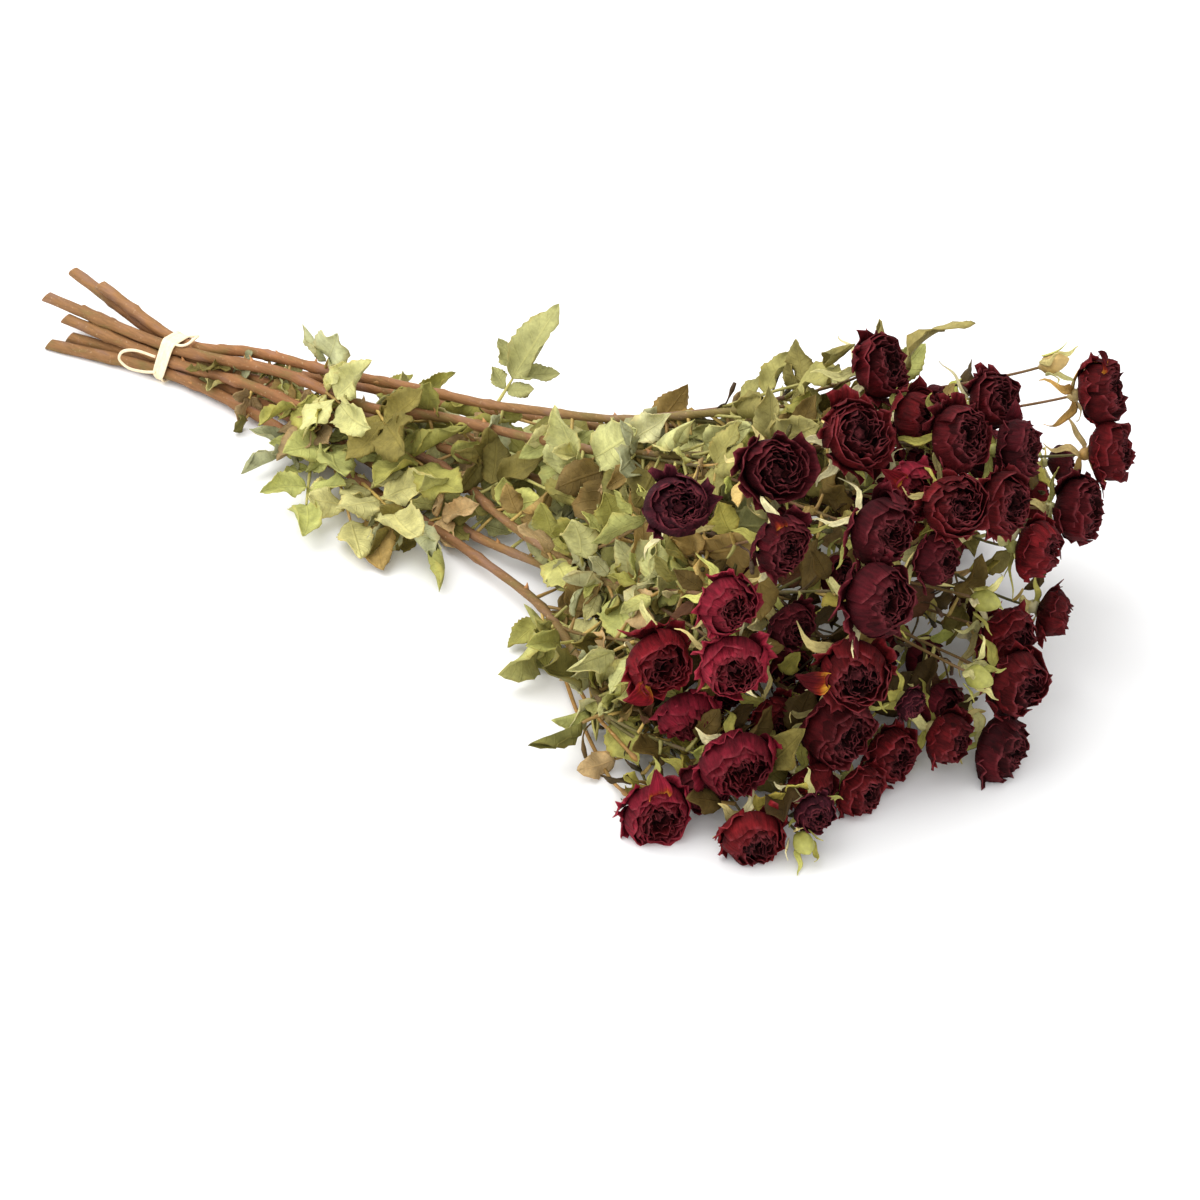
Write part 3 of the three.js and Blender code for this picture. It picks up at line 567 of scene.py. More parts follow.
PETAL_LAYERS = [
    (4, 1.10, 0.06, -0.14, 0.60, -0.66, 1.9),
    (3, 1.06, 0.42, 0.26, 1.22, -0.70, 0.7),
    (4, 0.98, 0.53, 0.32, 1.02, -0.64, 0.9),
    (4, 0.86, 0.57, 0.34, 0.98, -0.50, 1.1),
    (4, 0.71, 0.56, 0.34, 0.98, -0.30, 1.2),
    (4, 0.57, 0.54, 0.30, 1.02, -0.12, 1.2),
    (3, 0.43, 0.50, 0.22, 1.30, 0.00, 1.1),
    (3, 0.27, 0.44, 0.06, 1.40, 0.05, 1.0),
]
SMALL_LAYERS = PETAL_LAYERS[1::2]
PETAL_ROWS, PETAL_COLUMNS = 10, 11
BOWL_TOP = 0.55  # how far from its foot a petal stops opening, and its rim begins
FOOT_TOP = 0.45  # how far from its foot a petal is as wide as it gets
# The heart of a bloom: its profile, as shares of the radius.
HEART_HIGH, HEART_WIDE = [-0.55, -0.3, -0.1, 0.1, 0.22, 0.3], [0.14, 0.24, 0.26, 0.22, 0.16, 0.05]


def petal_grid(layer, turn, seed, openness):
    """A petal as out, up and turn round the rose's axis, for each height v from its foot and place u
    across it. out = reach times a bowl, a quarter sine of v up to 0.55, less what its rim closes in
    beyond, more at one side than the other like a pinwheel, + crumples that grow towards the rim;
    up = foot to top by v, less towards its sides (u squared), on a slope, with a jagged rim;
    turn = its own + half width times u, narrow at the foot."""
    _, reach, top, close, half, foot, crumpled = layer
    own = [chance(seed + k) - 0.5 for k in range(16)]
    v = np.linspace(0, 1, PETAL_ROWS)[:, None]
    u = np.linspace(-1, 1, PETAL_COLUMNS)[None]
    cup = 0.18 if reach > 0.6 else 0.7
    bowl = cup + (1 - cup) * np.sin(math.pi / 2 * np.minimum(1, v / BOWL_TOP)) ** 0.8
    late = np.maximum(0, (v - BOWL_TOP) / 0.45)
    lip = max(-0.24, close + 0.30 * own[0] - 0.30 * openness)
    out = reach * bowl * (1 - lip * late**1.7) * (1 + (0.13 + 0.08 * own[1]) * u * v)
    out = out + 0.16 * (0.4 + own[2]) * np.abs(u) ** 3 * late
    creases = np.sin(6 * u + 4 * v + 7 * own[3]) + 0.7 * np.sin(13 * u - 5 * v + 9 * own[4])
    creases = creases - 0.8 * np.abs(np.sin(8 * u + 3 * v + 5 * own[5]))
    creases = creases + 0.6 * np.sin(21 * u + 6 * v + 8 * own[13])
    out = out + crumpled * (0.010 + 0.040 * late) * creases
    out = out + 0.15 * (0.5 + own[6]) * (1 - np.abs(u)) ** 2 * late**2
    height = foot + (top + 0.20 * own[7] - foot) * v + 0.16 * own[8] * u * v
    height = height - (0.13 + 0.12 * own[9]) * u**2 * v - 0.30 * max(0, -lip) * late**2
    jag = np.sin(9 * u + 12 * own[10]) + 0.6 * np.sin(19 * u + 9 * own[11])
    height = height + 0.08 * late * jag
    spread = 0.45 + 0.55 * np.sin(math.pi / 2 * np.minimum(1, v / FOOT_TOP))
    around = turn + half * u * spread * (1 + 0.2 * own[12]) + 0.10 * v
    return out, height, around, np.broadcast_to(u, out.shape), np.broadcast_to(v, out.shape)


def add_petals(gathered, centre, forward, radius, seed, tints, layers=PETAL_LAYERS):
    """A rose: layers of petals round its axis, each layer turned against the next and set a little
    to one side, and the whole squashed along one direction and gently warped. Painted shade darkens
    the inner layers, each petal towards its foot, and the heart."""
    ahead, side, up = axes_of(forward)
    outer, inner = tints
    openness = chance(seed + 5)
    squash = mix(0.86, 1.0, chance(seed + 6))
    tilt = any_turn(seed + 7)
    aside = turned(side, up, any_turn(seed + 8)) * radius * 0.16 * chance(seed + 9)
    own_outer = pick(outer, seed + 10)
    for level, layer in enumerate(layers):
        petals, reach = layer[:2]
        depth = level / (len(layers) - 1)
        for k in range(petals - (level == 0 and chance(seed + 13) > 0.6)):
            own = seed + 31 * level + 7 * k
            turn = TURN * (k + 0.5 * level + 0.45 * (chance(own + 3) - 0.5)) / petals
            turn = turn + chance(seed + level)
            out, height, around, u, v = petal_grid(layer, turn, own, openness)
            out = out * (1 + (squash - 1) * np.cos(around - tilt) ** 2)
            warp = 0.05 * np.sin(3 * around + 6 * chance(seed + 11)) * v
            away = side * np.cos(around)[..., None] + up * np.sin(around)[..., None]
            out = out * mix(0.9, 1.08, chance(own + 63))
            grid = centre + (ahead * (height + warp)[..., None] + away * out[..., None]) * radius
            grid = grid + aside * max(0, 1 - reach) * v[..., None]
            # Inner layers take the darker inner tint: partly their own colour, partly painted shade deep in
            # the cup.
            tint = mix(own_outer, pick(inner, own + 60), min(1, depth * 1.4))
            tint = tint * mix(0.7, 1.35, chance(own + 62))
            # Painted shade: each petal darker towards its foot, the more so the further in its layer lies.
            tint = tint * mix(1, v**1.5, mix(0.25, 0.9, depth))[..., None]
            gathered.surface(grid, marks_of(v, u, chance(own + 61)), tint)
    heart = centre + ahead * (np.array(HEART_HIGH)[:, None] * radius) + aside * 0.9
    wide = np.array(HEART_WIDE) * radius
    # The heart is the inner tint at half its brightness: painted shade in the middle of the cup.
    tube(gathered, heart, wide, RIDGED_SIDES, pick(inner, seed + 14) * 0.5, ridges=5, deep=0.35)


def add_fallen_petal(gathered, centre, forward, radius, seed, turn, tints):
    """A petal that has come open, yellow at its foot: a tongue that leaves the side of the cup
    upwards, arches over outwards along its length, and is rolled at its edges."""
    ahead, side, up = axes_of(forward)
    out = turned(side, up, turn)
    across = np.cross(ahead, out)
    s = np.linspace(0, 1, 11)[:, None]
    t = np.linspace(-1, 1, 7)[None]
    slope = mix(0.5, 1.0, chance(seed + 1)) - mix(0.9, 2.2, chance(seed + 2)) * s
    long = radius * mix(1.0, 1.35, chance(seed + 3))
    wide = radius * 0.42 * np.sin(math.pi * np.clip(s, 0.06, 0.985) ** 0.8) ** 0.8
    roll = mix(0.7, 1.6, chance(seed + 4)) * t
    lift = wide * (1 - np.cos(roll)) + radius * (0.05 * np.sin(7 * s + 5 * t) + 0.03 * np.sin(13 * s - 9 * t))
    base = centre + ahead * radius * 0.2 + out * radius * 0.66
    grid = bent_spine(base, out, ahead, slope, long)
    grid = grid + across * (wide * np.sin(roll))[..., None] + ahead * lift[..., None]
    share = (s - 0.12 - 0.09 * np.sin(4 * t + seed))[..., None]
    foot_tint = mix(PETAL_YELLOW, PETAL_ORANGE, np.clip(share / 0.2, 0, 1))
    tint = mix(foot_tint, pick(tints[0], seed + 5), np.clip((share - 0.14) / 0.22, 0, 1))
    gathered.surface(grid, marks_of(0.75 + 0.2 * s, t, chance(seed + 6)), tint)


# ---- Calyxes and buds ----

# The profiles of a hip, in millimetres, and of a bud, as shares of its radius.
HIP_HIGH, HIP_WIDE = [-0.4, 0, 0.6, 1.6, 2.9, 4.2, 5.2, 5.6], [0.6, 0.85, 1.3, 2.3, 2.9, 2.75, 2.35, 1.5]
BUD_HIGH = [-0.3, 0, 0.35, 0.9, 1.4, 1.9, 2.4, 2.8, 3.1]
BUD_WIDE = [0.2, 0.4, 0.75, 1.0, 1.0, 0.88, 0.66, 0.36, 0.1]
SEPAL_SIDES = 8


def add_hip(gathered, foot, forward, tint, size=1.0):
    """A hip: a small urn round its axis, by its profile of radii."""
    path = foot + unit(forward) * (np.array(HIP_HIGH) * size)[:, None]
    tube(gathered, path, np.array(HIP_WIDE) * size, HIP_SIDES, tint, ridges=5, deep=0.04)


def add_sepal(gathered, root, out, ahead, long, wide, seed, tint):
    """A sepal: a narrow blade, half width wide sin(pi s^0.62), drawn out to a thread, that leaves
    outwards and bends along its length towards or away from the flower. Its section is a thin
    ellipse, cupped by the square of the place across it."""
    across = np.cross(ahead, out)
    s = np.linspace(0, 1, 10)[:, None]
    turn = turns_of(SEPAL_SIDES)[None]
    t = np.cos(turn)
    start = mix(-0.35, 0.4, chance(seed))
    slope = start + mix(-1.6, 0.8, chance(seed + 1)) * s + 2.6 * (chance(seed + 2) - 0.5) * s**3
    drift = long * (0.6 * (chance(seed + 3) - 0.5) * s**2 + 0.06 * np.sin(9 * s + seed))
    half = wide * (0.35 * (1 - s) + 0.8 * np.sin(math.pi * np.clip(s, 0, 0.97) ** 0.62) ** 1.2) + 0.14
    lift = 0.35 * half * t**2 + 0.15 * np.sin(turn)
    normal = -out * np.sin(slope)[..., None] + ahead * np.cos(slope)[..., None]
    grid = bent_spine(root, out, ahead, slope, long)
    grid = grid + across * (half * t + drift)[..., None] + normal * lift[..., None]
    first, last = (row.mean(1, keepdims=True).repeat(SEPAL_SIDES, 1) for row in (grid[:1], grid[-1:]))
    grid = np.concatenate([first, grid, last])
    marks = marks_of(np.vstack([s[:1], s, s[-1:]]), t, chance(seed + 4))
    gathered.surface(grid, marks, tint, slot=1, closed=True, poles=(True, True))


def add_calyx(gathered, foot, forward, reach, start, seed, size=1.0, tints=SEPAL_TINTS):
    """The hip under a rose and its five sepals."""
    ahead, side, up = axes_of(forward)
    add_hip(gathered, foot, forward, pick(tints, seed) * 0.8, size)
    for k in range(5):
        turn = start + TURN * k / 5 + 0.3 * (chance(seed + 3 * k) - 0.5)
        out = turned(side, up, turn)
        long = reach * mix(1.25, 2.0, chance(seed + 20 + k))
        root = foot + (ahead * (HIP_LONG - 0.5) + out * 1.9) * size
        wide = mix(1.1, 2.8, chance(seed + 30 + k))
        add_sepal(gathered, root, out, ahead, long, wide, seed + 41 * k, pick(tints, seed + 50 + k))


def add_bud(gathered, foot, forward, radius, seed, tint):
    """A bud still shut: an egg with five ridges, and sepals that wrap it and end in threads."""
    ahead, side, up = axes_of(forward)
    path = foot + ahead * (np.array(BUD_HIGH) * radius)[:, None]
    tube(gathered, path, np.array(BUD_WIDE) * radius, RIDGED_SIDES, tint, ridges=5, deep=0.07)
    for k in range(5):
        out = turned(side, up, TURN * (k + chance(seed)) / 5)
        root = foot + ahead * radius * 0.5 + out * radius * 0.85
        steep, inward = turned(out, ahead, 1.25), turned(ahead, out, -1.25)
        long = radius * mix(2.2, 3.4, chance(seed + k))
        tint = pick(SEPAL_TINTS, seed + 5 + k)
        add_sepal(gathered, root, steep, inward, long, radius * 0.34, seed + 17 * k, tint)


# ---- Leaves ----

BLADE_GRID, SMALL_GRID = (21, 7), (13, 5)  # rows along the rib, and columns across
PAIR_APART = 13  # mm: a stalk longer than this has a second pair
LEAF_STALK_ROWS = 8


def add_blade(gathered, foot, ahead, face, long, wide, curl, fold, seed, tint, size=BLADE_GRID):
    """A leaflet. Its half width is wide/2 sin(pi s^0.84), to a power that grows from 0.6 to 0.95 so
    that the tip is pointed, less each tooth's notch; across the rib it is folded up by fold and rolls
    further in by its own amount; along the rib it bends by curl; its edges wave, and it twists a
    little."""
    rows, columns = size
    s = np.linspace(0, 1, rows)[:, None]
    t = np.linspace(-1, 1, columns)[None]
    own = [chance(seed + k) for k in range(12)]
    side = unit(np.cross(face, ahead))
    curl = curl if abs(curl) > 1e-3 else 1e-3
    bend = curl * (s - 0.5)
    rib = (foot + ahead * (long * (np.sin(bend) + math.sin(curl / 2)) / curl)[..., None]
           + face * (long * (math.cos(curl / 2) - np.cos(bend)) / curl)[..., None])
    above = face * np.cos(bend)[..., None] - ahead * np.sin(bend)[..., None]
    outline = np.sin(math.pi * s**0.84).clip(0) ** (0.6 + 0.35 * s)
    tooth = 1 - mix(0.05, 0.12, own[1]) * (np.arange(rows) % 2)[:, None] * (np.abs(t) > 0.95)
    wave = 0.36 * np.sin(math.pi * (1.9 + 1.6 * own[2]) * s + 6 * own[3] + np.where(t > 0, 2.5 * own[4], 0))
    rolled = 1.4 if own[5] > 0.82 else mix(-0.4, 0.6, own[5])
    lift = fold + rolled * np.abs(t) + wave * t**2 + 0.5 * (own[6] - 0.5) * np.sign(t)
    half = wide / 2 * outline * tooth * np.abs(t)
    turn = mix(-0.7, 0.7, own[7]) * (s - 0.3)
    flat = np.sign(t) * half * np.cos(lift)
    crumple = np.sin(17 * s + 9 * own[8] - 5 * np.abs(t)) + 0.6 * np.sin(29 * s + 5 * t + 7 * own[11])
    tall = half * np.sin(lift) + long * 0.022 * crumple * np.abs(t)
    across = flat * np.cos(turn) - tall * np.sin(turn)
    upward = flat * np.sin(turn) + tall * np.cos(turn)
    sway = long * 0.10 * (own[9] - 0.5) * np.sin(math.pi * s)
    grid = rib + side * (across + sway)[..., None] + above * upward[..., None]
    gathered.surface(grid, marks_of(s, t, own[10]), tint, poles=(True, True))


def add_leaf(gathered, leaf, tints, size=BLADE_GRID):
    """A leaf: a stalk, a leaflet at its end, a pair at its fork where it has one, and a smaller pair
    nearer the root of a long stalk."""
    seed, ahead, face = leaf["seed"], leaf["ahead"], leaf["face"]
    own = pick(tints, seed + 70)
    fold = 0.3 + 0.25 * (chance(seed + 4) + chance(seed + 6) - 1)
    blade = (leaf["long"], leaf["wide"], leaf["curl"], fold, seed + 80, own, size)
    add_blade(gathered, leaf["end"], ahead, face, *blade)
    shares = np.linspace(0, 1, LEAF_STALK_ROWS)[:, None]
    path = leaf["root"] + (leaf["end"] - leaf["root"]) * shares
    path = path + face * 1.2 * np.sin(math.pi * shares) * (chance(seed + 71) - 0.5)
    radii = np.linspace(0.8, 0.45, LEAF_STALK_ROWS)
    tube(gathered, path, radii, THIN_SIDES, pick(STALK_TINTS, seed + 72), slot=1)
    if not leaf["paired"]:
        return
    long = leaf["long"] * leaf["pair_share"]
    add_pair(gathered, leaf, leaf["fork"], long, seed + 30, own, size)
    if np.linalg.norm(leaf["fork"] - leaf["root"]) > PAIR_APART:
        add_pair(gathered, leaf, mix(leaf["root"], leaf["fork"], 0.45), long * 0.7, seed + 130, own, size)


def add_pair(gathered, leaf, fork, long, seed, own, size):
    """Two leaflets that leave the stalk at one place, to either side."""
    for sign, tip in zip((1, -1), pair_ways(leaf, seed, long, fork)):
        way = unit(tip - fork)
        face = unit(leaf["face"] - way * leaf["face"].dot(way))
        face = turned(face, np.cross(way, face), sign * 0.3)
        curl = 1.3 * (chance(seed + 7 + sign) - 0.4)
        fold = mix(0.05, 0.55, chance(seed + 9 + sign))
        wide = long * mix(0.56, 0.7, chance(seed + 11 + sign))
        tint = own * mix(0.85, 1.12, chance(seed + 13 + sign))
        blade = (np.linalg.norm(tip - fork) - 0.8, wide, curl, fold, seed + 15 + sign, tint, size)
        add_blade(gathered, fork + way * 0.8, way, face, *blade)


# ---- More leaves, out of the way of blooms, stems and the edges that the photograph shows ----

# Small blooms at places of their own, by the spray and rose whose twig bears them: centre and radius.
SMALL_SPOTS = {(6, 2): (392, 36, 30, 9), (6, 5): (416, 28, 18, 8.5), (6, 3): (443, 2, 22, 9),
               (5, 6): (419, -5, 20, 8.5)}
# The centre and radius of each bloom. The small ones that find a place are added.
BLOOMS = [rose[:4] for plan in SPRAYS for rose in plan["roses"]] + list(SMALL_SPOTS.values())
# Leaves along each stem: from and to which share of it, how many, how far they reach, how much they
# hang to the front, how much they lean to the seen side, and the darkest share of its tint that a
# leaf may take by chance: partly the leaves' own tone, partly painted shade.
THICKETS = [(0.25, 0.34, 2, 22, 0.3, 0.1, 0.6), (0.33, 0.60, 5, 33, 0.5, -0.3, 0.7),
            (0.60, 0.76, 2, 34, 0.1, -0.4, 0.5), (0.76, 1.0, 10, 40, 0.0, 0.15, 0.5)]
TOP_SPRAYS, TOP_HANG = (1, 8), 0.9  # past their second thicket, the leaves of these hang by this
FRONT = np.array([0, -0.8, -0.2])
# Leaves along a flowering twig: from and to which share of it, how many, the least and most that
# they reach, how far they lean to the seen side, and their tints.
UPPER_LEAVES = [(0.3, 1.0, 3, 13, 25, 0.2, UPPER_TINTS), (0.1, 0.95, 9, 17, 34, -0.5, PAINTED_SHADE_LEAF_TINTS)]
HEAD_START = 350  # where the blooms begin, along X: before it the leaves have the usual tints
THICKET_TRIES, UPPER_TRIES = 12, 6
LOWEST_TIP, LOWEST_UPPER_TIP = 3, 2  # mm over the surface
# As the photograph sees it, none of these leaves stands past an edge: it is level at EDGE_HIGH over
# the aim, and rises left of EDGE_LEFT and right of EDGE_RIGHT, each by its own slope. Past both
# BARE_RIGHT and BARE_HIGH, only bare stalks and blooms are seen.
SEEN_RIGHT, SEEN_UP, SEEN_NEAR = np.array([[0.766, 0.643, 0], [-0.378, 0.45, 0.809], [0.52, -0.62, 0.588]])
EDGE_HIGH, EDGE_LEFT, EDGE_RIGHT = 64, -16, 52
LEFT_SLOPE, RIGHT_SLOPE = 0.28, 0.66
BARE_RIGHT, BARE_HIGH = 166, 48
SHOWN_STEMS = [(2, 0.3, 0.8), (3, 0.3, 0.8), (4, 0.45, 0.8)]  # by spray, from and to which share
SHOWN = np.vstack([spline_of(SPRAYS[spray - 1]["stem"])(np.linspace(start, stop, 40))
                   for spray, start, stop in SHOWN_STEMS])
STEM_CLEAR = 7  # mm beside a stem that shows
BLOOM_CLEAR = 0.95  # of a bloom's radius


def under_the_edge(point):
    """Whether a point is seen below the top edge of the leaves."""
    right, up = (point - AIM) @ SEEN_RIGHT, (point - AIM) @ SEEN_UP
    if right > BARE_RIGHT and up > BARE_HIGH:
        return False
    return up < EDGE_HIGH + LEFT_SLOPE * max(0, EDGE_LEFT - right) + RIGHT_SLOPE * max(0, right - EDGE_RIGHT)


def clear_of_stems(points):
    """Whether no point lies before one of the stems that show in the photograph."""
    apart = np.array(points)[:, None] - SHOWN[None]
    aside = np.hypot(apart @ SEEN_RIGHT, apart @ SEEN_UP)
    return not ((aside < STEM_CLEAR) & (apart @ SEEN_NEAR > 0)).any()


def clear_of_blooms(points):
    """Whether no point lies in a bloom."""
    blooms = np.array(BLOOMS, float)
    apart = np.linalg.norm(np.array(points)[:, None] - blooms[None, :, :3], axis=-1)
    return bool((apart > blooms[:, 3] * BLOOM_CLEAR).all())


def add_thickets(gathered, stem, number):
    """The leaves that crowd along a stem. Each goes forwards, to a side by chance, a little to the
    seen side, and down to the front by its thicket's own share, and stays out of the blooms."""
    for z, (start, stop, count, reach, hang, lean, dark) in enumerate(THICKETS):
        hang = TOP_HANG if number in TOP_SPRAYS and z > 1 else hang
        for k in range(count):
            for step in range(THICKET_TRIES):
                seed = 20000 + 3000 * number + 700 * z + 41 * k + 7 * step
                share = mix(start, stop, (k + chance(seed)) / count)
                root = place(stem, share)
                ahead, out = sprout(stem, share, seed + 1)
                way = ahead * mix(0.1, 0.9, chance(seed + 2)) + out + LEAN * lean
                way = unit(way + hang * FRONT)
                tip = root + way * reach * mix(0.75, 1.15, chance(seed + 3))
                leaf = leaf_form(root, tip, 2.0 * (chance(seed + 4) - 0.5), seed, chance(seed + 5) > 0.35)
                leaf["wide"] *= mix(1.05, 1.4, chance(seed + 8))
                points = [tip, leaf["end"], (tip + leaf["end"]) / 2]
                free = tip[2] > LOWEST_TIP and under_the_edge(tip)
                if free and clear_of_blooms(points) and clear_of_stems(points):
                    # Each leaf darker by chance, down to its thicket's share: partly its own tone, partly
                    # painted shade for leaves that lie in the shade of others.
                    tints = [tint * mix(dark, 1, chance(seed + 6)) for tint in LEAF_TINTS]
                    add_leaf(gathered, leaf, tints, SMALL_GRID)
                    break


def add_upper_leaves(gathered, limb, seed):
    """Single leaves along a flowering twig: small ones, the last of them near the bloom, and larger
    ones that lie deeper, darkened by painted shade where they lie among the blooms."""
    for z, (start, stop, count, least, most, lean, tints) in enumerate(UPPER_LEAVES):
        for k in range(count):
            for step in range(UPPER_TRIES):
                own = seed + 400 * z + 53 * k + 11 * step
                share = mix(start, stop, (k + chance(own + 3)) / count)
                root = place(limb, share)
                ahead, out = sprout(limb, share, own)
                tip = root + unit(ahead * 0.5 + out + LEAN * lean) * mix(least, most, chance(own + 1))
                leaf = leaf_form(root, tip, 2.4 * (chance(own + 2) - 0.5), own)
                free = tip[2] > LOWEST_UPPER_TIP and under_the_edge(tip)
                if free and clear_of_blooms([tip, (tip + leaf["end"]) / 2]):
                    # Among the blooms the deeper leaves take the painted shade tints; before them, the usual
                    # ones.
                    add_leaf(gathered, leaf, tints if tip[0] > HEAD_START else LEAF_TINTS, SMALL_GRID)
                    break


# ---- Small blooms ----

SMALL_TRIES = 60
SMALL_LEAST, SMALL_MOST = 6.5, 9.4  # radii
SMALL_FROM, SMALL_TO = 366, 438  # along X
SMALL_DEPTH = 8  # mm that one may stand nearer to the seen side than its root
SMALL_HIP = 0.7  # as a share of a full one


def find_small_bloom(limb, seed):
    """A free place for a small bloom beside a twig: its centre, its radius and the place that it
    grows from, or None where the blooms leave no room."""
    for step in range(SMALL_TRIES):
        own = seed + 13 * step
        radius = mix(SMALL_LEAST, SMALL_MOST, chance(own))
        root = place(limb, mix(0.35, 0.8, chance(own + 1)))
        ahead, out = sprout(limb, 0.7, own + 2)
        centre = root + ahead * mix(14, 30, chance(own + 3)) + out * mix(12, 22, chance(own + 4))
        taken = np.array(BLOOMS, float)
        apart = np.linalg.norm(centre - taken[:, :3], axis=-1)
        inside = (centre - root) @ LEAN < SMALL_DEPTH and SMALL_FROM < centre[0] < SMALL_TO
        if inside and centre[2] > radius + 1 and (apart > (radius + taken[:, 3]) * 0.86).all():
            return centre, radius, root
    return None


def add_small_bloom(petals, wood, calyxes, limb, seed, spot):
    """A small half-open bloom on its own stalk beside a twig, with its calyx, at its own spot or
    where there is room."""
    if spot:
        found = (np.array(spot[:3], float), spot[3], place(limb, 0.45))
    else:
        found = find_small_bloom(limb, seed)
    if found is None:
        return
    centre, radius, root = found
    forward = unit(facing(centre, 0.2) + 0.3 * unit(centre - root))
    foot = centre - forward * (ROSE_FOOT * radius + HIP_LONG * SMALL_HIP)
    BLOOMS.append((*centre, radius))
    add_petals(petals, centre, forward, radius, seed + 1, PETAL_DEEP, SMALL_LAYERS)
    along = heading(limb, 0.6)
    curve = arc_of(root, root + along * 8, foot - forward * 8, foot)
    add_limb(wood, curve, np.linspace(0.75, 0.6, STALK_ROWS), TWIG_SIDES, pick(TWIG_TINTS, seed))
    add_calyx(calyxes, foot, forward, radius, 6.3 * chance(seed + 2), seed + 3, SMALL_HIP)


# ---- Wood ----

THORNS, JOINTS = 9, 11
THORN_WIDE = np.array([1.6, 1.1, 0.7, 0.35, 0.06])  # radii from its foot to its point
CUT_SHARE = 0.0003  # of the stem, from the middle of the cut face to its rim
TWIG_SHRUNK = 0.72  # dry twigs are thinner than the model's
KNOB, SMALL_KNOB = (0.8, 1.3, 1.4, 0.8), (0.6, 1.1, 0.8)  # radii at the end of a bare twig or stalk
SPENT_STALKS, WIRY_STALKS = 3, 8
WIRY_SPRAYS = (5, 6)  # their twigs have more stalks that have lost their flowers
# A long twig that has lost its flowers and lies along the front edge, by its spray.
BARE_TWIGS = {4: [(280, -48, 11), (296, -61, 6), (316, -76, 3), (340, -92, 2.5), (358, -103, 3),
                  (371, -108, 5)],
              5: [(268, -18, 12), (288, -44, 9), (308, -66, 8), (330, -82, 12), (352, -92, 14),
                  (366, -96, 12)]}


def stem_radius(share):
    """A stem's radius at a share of it."""
    return mix(STEM_THICK, STEM_THIN, share**1.3)


def add_stem(gathered, stem, seed):
    """A woody stem: a tube that swells at its joints and wanders a little, brown by the cut and
    greener at its tip. Its first ring is the pale cut face."""
    shares = np.concatenate([[0, CUT_SHARE], np.linspace(0.004, 1, STEM_ROWS)])
    path = stem(shares)
    wander = np.stack([0 * shares, np.sin(23 * shares + seed), np.cos(31 * shares + seed)], axis=-1)
    path = path + 0.35 * wander * np.sin(math.pi * shares)[:, None]
    waves = 0.03 * np.sin(70 * shares + seed) + 0.03 * np.sin(173 * shares + 3 * seed)
    radii = stem_radius(shares) * (1 + waves)
    for k in range(JOINTS):
        joint = 0.05 + 0.088 * k + 0.03 * chance(seed + k)
        radii = radii * (1 + 0.24 * np.exp(-(((shares - joint) / 0.0065) ** 2)))
    stops = np.linspace(0, 1, len(STEM_TINTS))
    tint = np.stack([np.interp(shares, stops, part) for part in np.transpose(STEM_TINTS)], axis=-1)
    tint = tint * mix(0.85, 1.15, chance(seed + 30))
    tint[0] = CUT_TINT
    radii[0] *= 0.97
    number = chance(seed + 31)
    tube(gathered, path, radii, STEM_SIDES, tint, number=number, ridges=3, deep=0.03, slant=CUT_SLOPE)


def add_thorns(gathered, stem, seed):
    """Thorns that lean back towards the cut end: short tubes that narrow to a point along a bend."""
    for k in range(THORNS):
        share = 0.13 + 0.095 * (k + 0.6 * chance(seed + 3 * k))
        ahead, out = sprout(stem, share, seed + 10 + 3 * k)
        sunk, tall = 0.6 * stem_radius(share), stem_radius(share) + mix(1.2, 2.6, chance(seed + 11 + 3 * k))
        s = np.linspace(0, 1, len(THORN_WIDE))[:, None]
        path = place(stem, share) + out * (sunk + (tall - sunk) * s) - ahead * 1.4 * s**2
        tube(gathered, path, THORN_WIDE, THIN_SIDES, THORN_TINT)


def add_twig(gathered, curve, seed):
    """A twig: a thin tube that narrows to its neck, with a joint or two."""
    shares = np.linspace(0, 1, TWIG_ROWS)
    radii = np.linspace(TWIG_ROOT, TWIG_NECK, TWIG_ROWS) * TWIG_SHRUNK
    for k in range(2):
        joint = mix(0.2, 0.8, chance(seed + k))
        radii = radii * (1 + 0.35 * np.exp(-(((shares - joint) / 0.02) ** 2)))
    add_limb(gathered, curve, radii, TWIG_SIDES, pick(TWIG_TINTS, seed), chance(seed + 5))


def add_spent_stalk(gathered, limb, seed):
    """A thin stalk that has lost its flower: a bent tube that leaves a twig and ends in a knob."""
    root = place(limb, mix(0.3, 0.85, chance(seed)))
    ahead, side, up = axes_of(heading(limb, 0.6))
    out = turned(side, up, any_turn(seed + 1))
    long = mix(12, 27, chance(seed + 2))
    bend = turned(side, up, any_turn(seed + 3)) * long * 0.6
    tip = root + (ahead * 0.9 + out * 0.7) * long
    curve = arc_of(root, root + ahead * long * 0.5 + out * long * 0.3, tip - ahead * long * 0.4 + bend, tip)
    radii = np.linspace(0.5, 0.32, STALK_ROWS)
    radii[-len(SMALL_KNOB):] = SMALL_KNOB
    tint = pick(TWIG_TINTS, seed + 4) * mix(0.2, 0.8, chance(seed + 5))
    add_limb(gathered, curve, radii, THIN_SIDES, tint)


def add_bare_twig(gathered, places, seed):
    """A bare twig: a thin tube through its places that ends in a knob."""
    radii = np.linspace(1.0, 0.7, BARE_ROWS)
    radii[-len(KNOB):] = KNOB
    add_limb(gathered, spline_of(places), radii, TWIG_SIDES, BARE_TINT, chance(seed))


# ---- Materials ----

# One function adds a node. Scales are worked out from sizes in millimetres.

